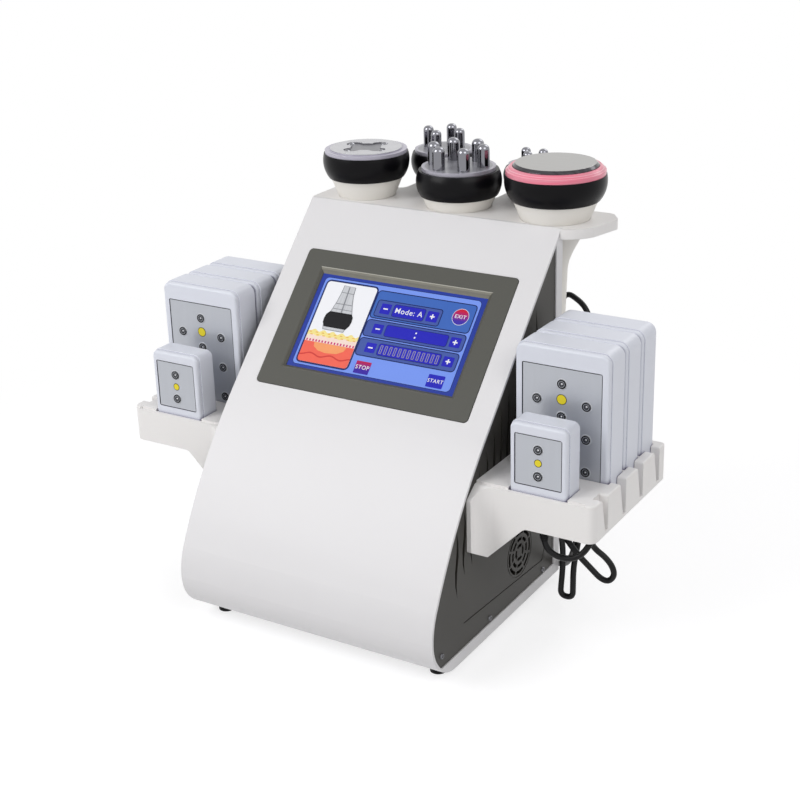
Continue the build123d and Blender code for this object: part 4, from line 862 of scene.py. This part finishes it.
START_KEY = (0.832, 0.926, 0.825, 0.950)

# Depths below the panel's outer face: what is nearer to the viewer lies less deep
BORDER_DEPTH = 2.1
PAGE_DEPTH = 2.02
GROUP_DEPTH = 1.86
MODE_DEPTH = 1.7
LOW_SIGN_DEPTH = 1.7
KEY_DEPTH = 1.62
SIGN_DEPTH = 1.54
UPRIGHT_DEPTH = 1.53

# Corner radii in millimetres
PAGE_R = 4
PICTURE_R = 3.5
ROW_R = 3
MODE_R = 2
FIELD_R = 1.8
KEY_R = 0.8


def middle(box):
    """Centre of a box on the display."""
    return (box[0] + box[1]) / 2, (box[2] + box[3]) / 2


def round_key(x, y, r, depth, sides=40):
    """Flat round key; its radius is in millimetres."""
    u, s = shares(x, y)
    outline = [(u + r * cos(2 * pi * i / sides), s + r * sin(2 * pi * i / sides)) for i in range(sides)]
    return slab(outline, on_slope, depth, depth + SHEET)


def slope_z(y):
    """Height in the shared frame of a share down the display."""
    return on_slope(0, shares(0.5, y)[1], 0).z


# Level bars: pairs of upright strokes, each pair with a short tick above and below it
pair_count = 13
pair_start = 0.514
pair_pitch = 0.0275
pair_y = 0.681
stroke_off = 0.0055
tick_off = 0.040
level_bars = []
for i in range(pair_count):
    x = pair_start + pair_pitch * i
    for side in (-1, 1):
        level_bars.append(bar(x + side * stroke_off, pair_y, 0.75, 8.2, SIGN_DEPTH))
    for side in (-1, 1):
        level_bars.append(bar(x, pair_y + side * tick_off, 2.2, 0.6, SIGN_DEPTH))
signs = [bar(*middle(box), 4.8, 1.3, SIGN_DEPTH) for box in MINUS + PLUS]
signs += [bar(*middle(box), 1.3, 4.8, UPRIGHT_DEPTH) for box in PLUS]
screen = {
    "border": (BORDER, [key(0, 1, 0, 1, 0.5, BORDER_DEPTH)]),
    "field": (FIELD, [key(*PAGE, PAGE_R, PAGE_DEPTH)]),
    "outlines": (NAVY, [
        ring_key(*PAGE, PAGE_R, depth=2.0, wide=0.5),
        ring_key(*PICTURE, PICTURE_R, depth=1.94, wide=1.7),
        *[ring_key(*box, ROW_R, depth=1.94, wide=1.0) for box in ROWS.values()],
        ring_key(*MODE_BOX, MODE_R, depth=1.78, wide=0.9),
        *[ring_key(*box, FIELD_R, depth=1.66, wide=0.5) for box in FIELDS],
    ]),
    "groups": (GROUP, [key(*ROWS["top"], ROW_R, GROUP_DEPTH)]),
    "inner_groups": (INNER, [
        key(*ROWS["middle"], ROW_R, GROUP_DEPTH),
        key(*ROWS["low"], ROW_R, GROUP_DEPTH),
        key(*MODE_BOX, MODE_R, MODE_DEPTH),
    ]),
    "keys": (KEY, [
        *[key(*box, KEY_R, KEY_DEPTH) for box in MINUS + PLUS],
        *[key(*box, FIELD_R, KEY_DEPTH) for box in FIELDS],
        key(*START_KEY, KEY_R, GROUP_DEPTH),
    ]),
    "picture": (PAPER, [key(*PICTURE, PICTURE_R, GROUP_DEPTH)]),
    "signs": (PAPER, [
        *signs,
        bar(0.676, 0.463, 1.5, 1.5, SIGN_DEPTH),
        bar(0.676, 0.508, 1.5, 1.5, SIGN_DEPTH),
        words("Mode: A", *middle(FIELDS[0]), 7.6, SIGN_DEPTH),
        words("EXIT", *EXIT_AT, 5.2, 1.46),
        words("STOP", *middle(STOP_KEY), 5.6, LOW_SIGN_DEPTH),
        words("START", *middle(START_KEY), 5.0, LOW_SIGN_DEPTH),
    ]),
    "level_bars": (BARS, level_bars),
}
for name, (material, shapes) in screen.items():
    piece("screen_" + name, shapes, material, "console")

exit_look = two_way("exit key", srgb(204, 26, 62), srgb(66, 50, 172), slope_z(0.19), slope_z(0.29))
stop_look = two_way("stop key", srgb(196, 24, 56), srgb(58, 34, 164), slope_z(0.84), slope_z(0.93))
piece("screen_exit_rim", [round_key(*EXIT_AT, 8.3, KEY_DEPTH)], PAPER, "console")
piece("screen_exit", [round_key(*EXIT_AT, 7.9, SIGN_DEPTH)], exit_look, "console")
piece("screen_stop", [key(*STOP_KEY, KEY_R, GROUP_DEPTH)], stop_look, "console")

# Picture of a plain applicator over bands of skin, fat and muscle: the bands first
left_x, right_x, _, foot_y = PICTURE
flesh = [(left_x, 0.72), (right_x, 0.72), (right_x, 0.895), (0.357, 0.915), (0.348, foot_y),
         (0.062, foot_y), (0.053, 0.915), (left_x, 0.895)]
patch = [(0.113, 0.722), (0.315, 0.722), (0.304, 0.77), (0.268, 0.805), (0.200, 0.815), (0.150, 0.80),
         (0.119, 0.765)]
top_wave = wave_edge(left_x, right_x, 0.602, 0.012, 0.6, 5.5)
pale_wave = wave_edge(left_x, right_x, 0.652, 0.008, 2.1, 4.5)
vein_wave = wave_edge(left_x, right_x, 0.842, 0.014, 1.4, 2.5)
vein_h = 0.014
bands = {
    "skin": (srgb(250, 232, 150), top_wave + [(right_x, 0.68), (left_x, 0.68)], 1.78),
    "pale": (srgb(250, 226, 214), pale_wave + [(right_x, 0.73), (left_x, 0.73)], 1.74),
    "flesh": (srgb(246, 106, 88), flesh, 1.70),
    "patch": (srgb(250, 164, 108), patch, 1.66),
    "vein": (srgb(214, 66, 62), vein_wave + [(x, y + vein_h) for x, y in vein_wave[::-1]], 1.62),
}
for name, (tone, outline, depth) in bands.items():
    look = screen_look("picture " + name, tone, 0.1, 160)
    piece("picture_" + name, [drawn(outline, depth)], look, "console")
MAGENTA = screen_look("picture magenta", srgb(206, 40, 120))
AMBER = screen_look("picture amber", srgb(238, 186, 92), 0.15)

# Marks in the bands: one row of dots, and two rows of grains with the lower one shifted
dot_start = 0.062
dot_pitch = 0.0192
dot_row = 0.706
dots = [bar(dot_start + dot_pitch * i, dot_row, 1.6, 2.2, 1.62) for i in range(16)]
piece("picture_dots", dots, MAGENTA, "console")
grain_start = 0.066
grain_pitch = 0.038
grain_shift = 0.010
grain_row = 0.622
grain_drop = 0.026
grains = []
for row in range(2):
    for column in range(8):
        x = grain_start + grain_pitch * column + grain_shift * row
        grains.append(bar(x, grain_row + grain_drop * row, 2.6, 1.0, 1.66))
piece("picture_grains", grains, AMBER, "console")

# Applicator: a pale handle and plate with darker edges and seams, and a black collar
SKETCH = screen_look("picture grey", srgb(204, 206, 211), 0.35, 260, (3, 0.15, 0.15))
SKETCH_EDGE = screen_look("picture edge", srgb(138, 140, 146), 0.2, 200)
INK = screen_look("picture black", srgb(18, 18, 22), 0.3)
handle = [(0.1605, 0.1065), (0.227, 0.1135), (0.232, 0.20), (0.250, 0.31), (0.267, 0.394), (0.137, 0.396),
          (0.150, 0.30), (0.158, 0.20)]
wide_handle = [(0.1565, 0.1035), (0.231, 0.1105), (0.236, 0.20), (0.254, 0.31), (0.272, 0.400),
               (0.132, 0.400), (0.146, 0.30), (0.154, 0.20)]
front_plate = [(0.125, 0.535), (0.262, 0.535), (0.255, 0.577), (0.132, 0.577)]
wide_plate = [(0.121, 0.535), (0.266, 0.535), (0.258, 0.583), (0.129, 0.583)]
long_seam = [(0.190, 0.115), (0.197, 0.115), (0.206, 0.394), (0.198, 0.394)]
cross_seams = [
    [(0.1505, 0.296), (0.247, 0.296), (0.248, 0.303), (0.1495, 0.303)],
    [(0.143, 0.352), (0.258, 0.352), (0.259, 0.358), (0.142, 0.358)],
    [(0.158, 0.175), (0.2305, 0.18), (0.231, 0.186), (0.158, 0.181)],
]
collar = [(0.134, 0.388), (0.268, 0.388), (0.281, 0.42), (0.284, 0.465), (0.280, 0.51), (0.264, 0.552),
          (0.130, 0.552), (0.115, 0.51), (0.112, 0.465), (0.117, 0.42)]
edges = [drawn(wide_handle, 1.66), drawn(wide_plate, 1.58), drawn(long_seam, 1.56)]
piece("picture_edge", edges, SKETCH_EDGE, "console")
seams = [drawn(seam, 1.53) for seam in cross_seams]
piece("picture_seams", seams, SKETCH_EDGE, "console")
faces = [drawn(handle, 1.6), drawn(front_plate, 1.54)]
piece("picture_handle", faces, SKETCH, "console")
piece("picture_collar", [drawn(collar, 1.5)], INK, "console")

# Inner lip of the screen frame: a slanting band round the display, pale along its top: that top side is
# painted light, a paler copy of the lip colour, with a painted highlight on its outer bevel.
# Each ring of it is larger than the display by grow, and by more again at its top.
lip_rings = [(3.4, 1.3, -0.61), (2.8, 1.1, -0.66), (2.0, 0.0, -0.65), (0.9, 0.0, 0.5), (-0.2, -0.9, 2.05)]
lip_points = []
for grow, more, depth in lip_rings:
    half_u = DISPLAY_W / 2 + grow
    half_s = DISPLAY_H / 2 + grow
    for u, s in ((-half_u, -half_s - more), (half_u, -half_s - more), (half_u, half_s), (-half_u, half_s)):
        lip_points.append(on_slope(u, SCREEN_S + s, depth))
lip_sides = []
for i in range(4):
    j = (i + 1) % 4
    lip_sides.append([[4 * k + i, 4 * k + j, 4 * k + 4 + j, 4 * k + 4 + i] for k in range(4)])
lip_top, *lip_rest = lip_sides
piece("screen_lip_edge_painted_highlight", [(lip_points, lip_top[:1])], LIP_EDGE_PAINTED_HIGHLIGHT, "console")
piece("screen_lip_top_painted_light", [(lip_points, lip_top[1:])], LIP_TOP_PAINTED_LIGHT, "console")
piece("screen_lip", [(lip_points, sum(lip_rest, []))], LIP, "console")


# Pale floor and backdrop, white to the camera and to reflections
def seen_directly(n, l):
    """1 for rays from the camera, from gloss and from glass, else 0."""
    path = n.new("ShaderNodeLightPath")
    total = path.outputs["Is Camera Ray"]
    for ray in ("Is Glossy Ray", "Is Transmission Ray"):
        plus = n.new("ShaderNodeMath")
        plus.operation = "ADD"
        plus.use_clamp = True
        l.new(total, plus.inputs[0])
        l.new(path.outputs[ray], plus.inputs[1])
        total = plus.outputs["Value"]
    return total


def floor_white():
    """Floor that takes soft shadows near the machine and fades to plain white further out."""
    mat = bpy.data.materials.new("floor white")
    mat.use_nodes = True
    n, l = mat.node_tree.nodes, mat.node_tree.links
    n.clear()
    out = n.new("ShaderNodeOutputMaterial")
    real = n.new("ShaderNodeBsdfDiffuse")
    real.inputs["Color"].default_value = (0.8, 0.8, 0.8, 1)
    shaded = n.new("ShaderNodeBsdfDiffuse")
    shaded.inputs["Color"].default_value = (0.42, 0.42, 0.43, 1)
    lit = n.new("ShaderNodeEmission")
    lit.inputs["Strength"].default_value = 0.69
    near = n.new("ShaderNodeAddShader")
    l.new(shaded.outputs["BSDF"], near.inputs[0])
    l.new(lit.outputs["Emission"], near.inputs[1])
    plain = n.new("ShaderNodeEmission")
    plain.inputs["Strength"].default_value = 1.0
    where = n.new("ShaderNodeTexCoord")
    reach = n.new("ShaderNodeVectorMath")
    reach.operation = "LENGTH"
    l.new(where.outputs["Object"], reach.inputs[0])
    span = n.new("ShaderNodeMapRange")
    span.interpolation_type = "SMOOTHSTEP"
    span.inputs["From Min"].default_value = 0.3
    span.inputs["From Max"].default_value = 0.75
    l.new(reach.outputs["Value"], span.inputs["Value"])
    shown = n.new("ShaderNodeMixShader")
    l.new(span.outputs["Result"], shown.inputs["Fac"])
    l.new(near.outputs["Shader"], shown.inputs[1])
    l.new(plain.outputs["Emission"], shown.inputs[2])
    pick = n.new("ShaderNodeMixShader")
    l.new(seen_directly(n, l), pick.inputs["Fac"])
    l.new(real.outputs["BSDF"], pick.inputs[1])
    l.new(shown.outputs["Shader"], pick.inputs[2])
    l.new(pick.outputs["Shader"], out.inputs["Surface"])
    return mat


def studio():
    """White world and three soft lamps that face the machine."""
    world = bpy.context.scene.world or bpy.data.worlds.new("world")
    bpy.context.scene.world = world
    world.use_nodes = True
    n, l = world.node_tree.nodes, world.node_tree.links
    n.clear()
    out = n.new("ShaderNodeOutputWorld")
    soft = n.new("ShaderNodeBackground")
    soft.inputs["Color"].default_value = (1, 0.99, 0.985, 1)
    soft.inputs["Strength"].default_value = 0.42
    plain = n.new("ShaderNodeBackground")
    plain.inputs["Color"].default_value = (1, 1, 1, 1)
    pick = n.new("ShaderNodeMixShader")
    l.new(seen_directly(n, l), pick.inputs["Fac"])
    l.new(soft.outputs["Background"], pick.inputs[1])
    l.new(plain.outputs["Background"], pick.inputs[2])
    l.new(pick.outputs["Shader"], out.inputs["Surface"])
    for name, place, size, power in (
        ("key", (-1.5, -2.1, 2.0), 1.8, 50),
        ("fill", (2.3, -1.2, 2.4), 2.0, 30),
        ("rim", (0.4, 2.2, 2.2), 1.6, 18),
    ):
        lamp = add(bpy.data.objects.new(name, bpy.data.lights.new(name, "AREA")))
        lamp.data.size = size
        lamp.data.energy = power
        lamp.location = place
        aim = Vector((0, -0.02, 0.2)) - Vector(place)
        lamp.rotation_euler = aim.to_track_quat("-Z", "Y").to_euler()


studio()
bm = bmesh.new()
bmesh.ops.create_grid(bm, x_segments=2, y_segments=2, size=4)
floor_mesh = bpy.data.meshes.new("floor")
bm.to_mesh(floor_mesh)
bm.free()
floor = add(bpy.data.objects.new("floor", floor_mesh))
floor_mesh.materials.append(floor_white())

bpy.context.scene.view_settings.view_transform = "Standard"
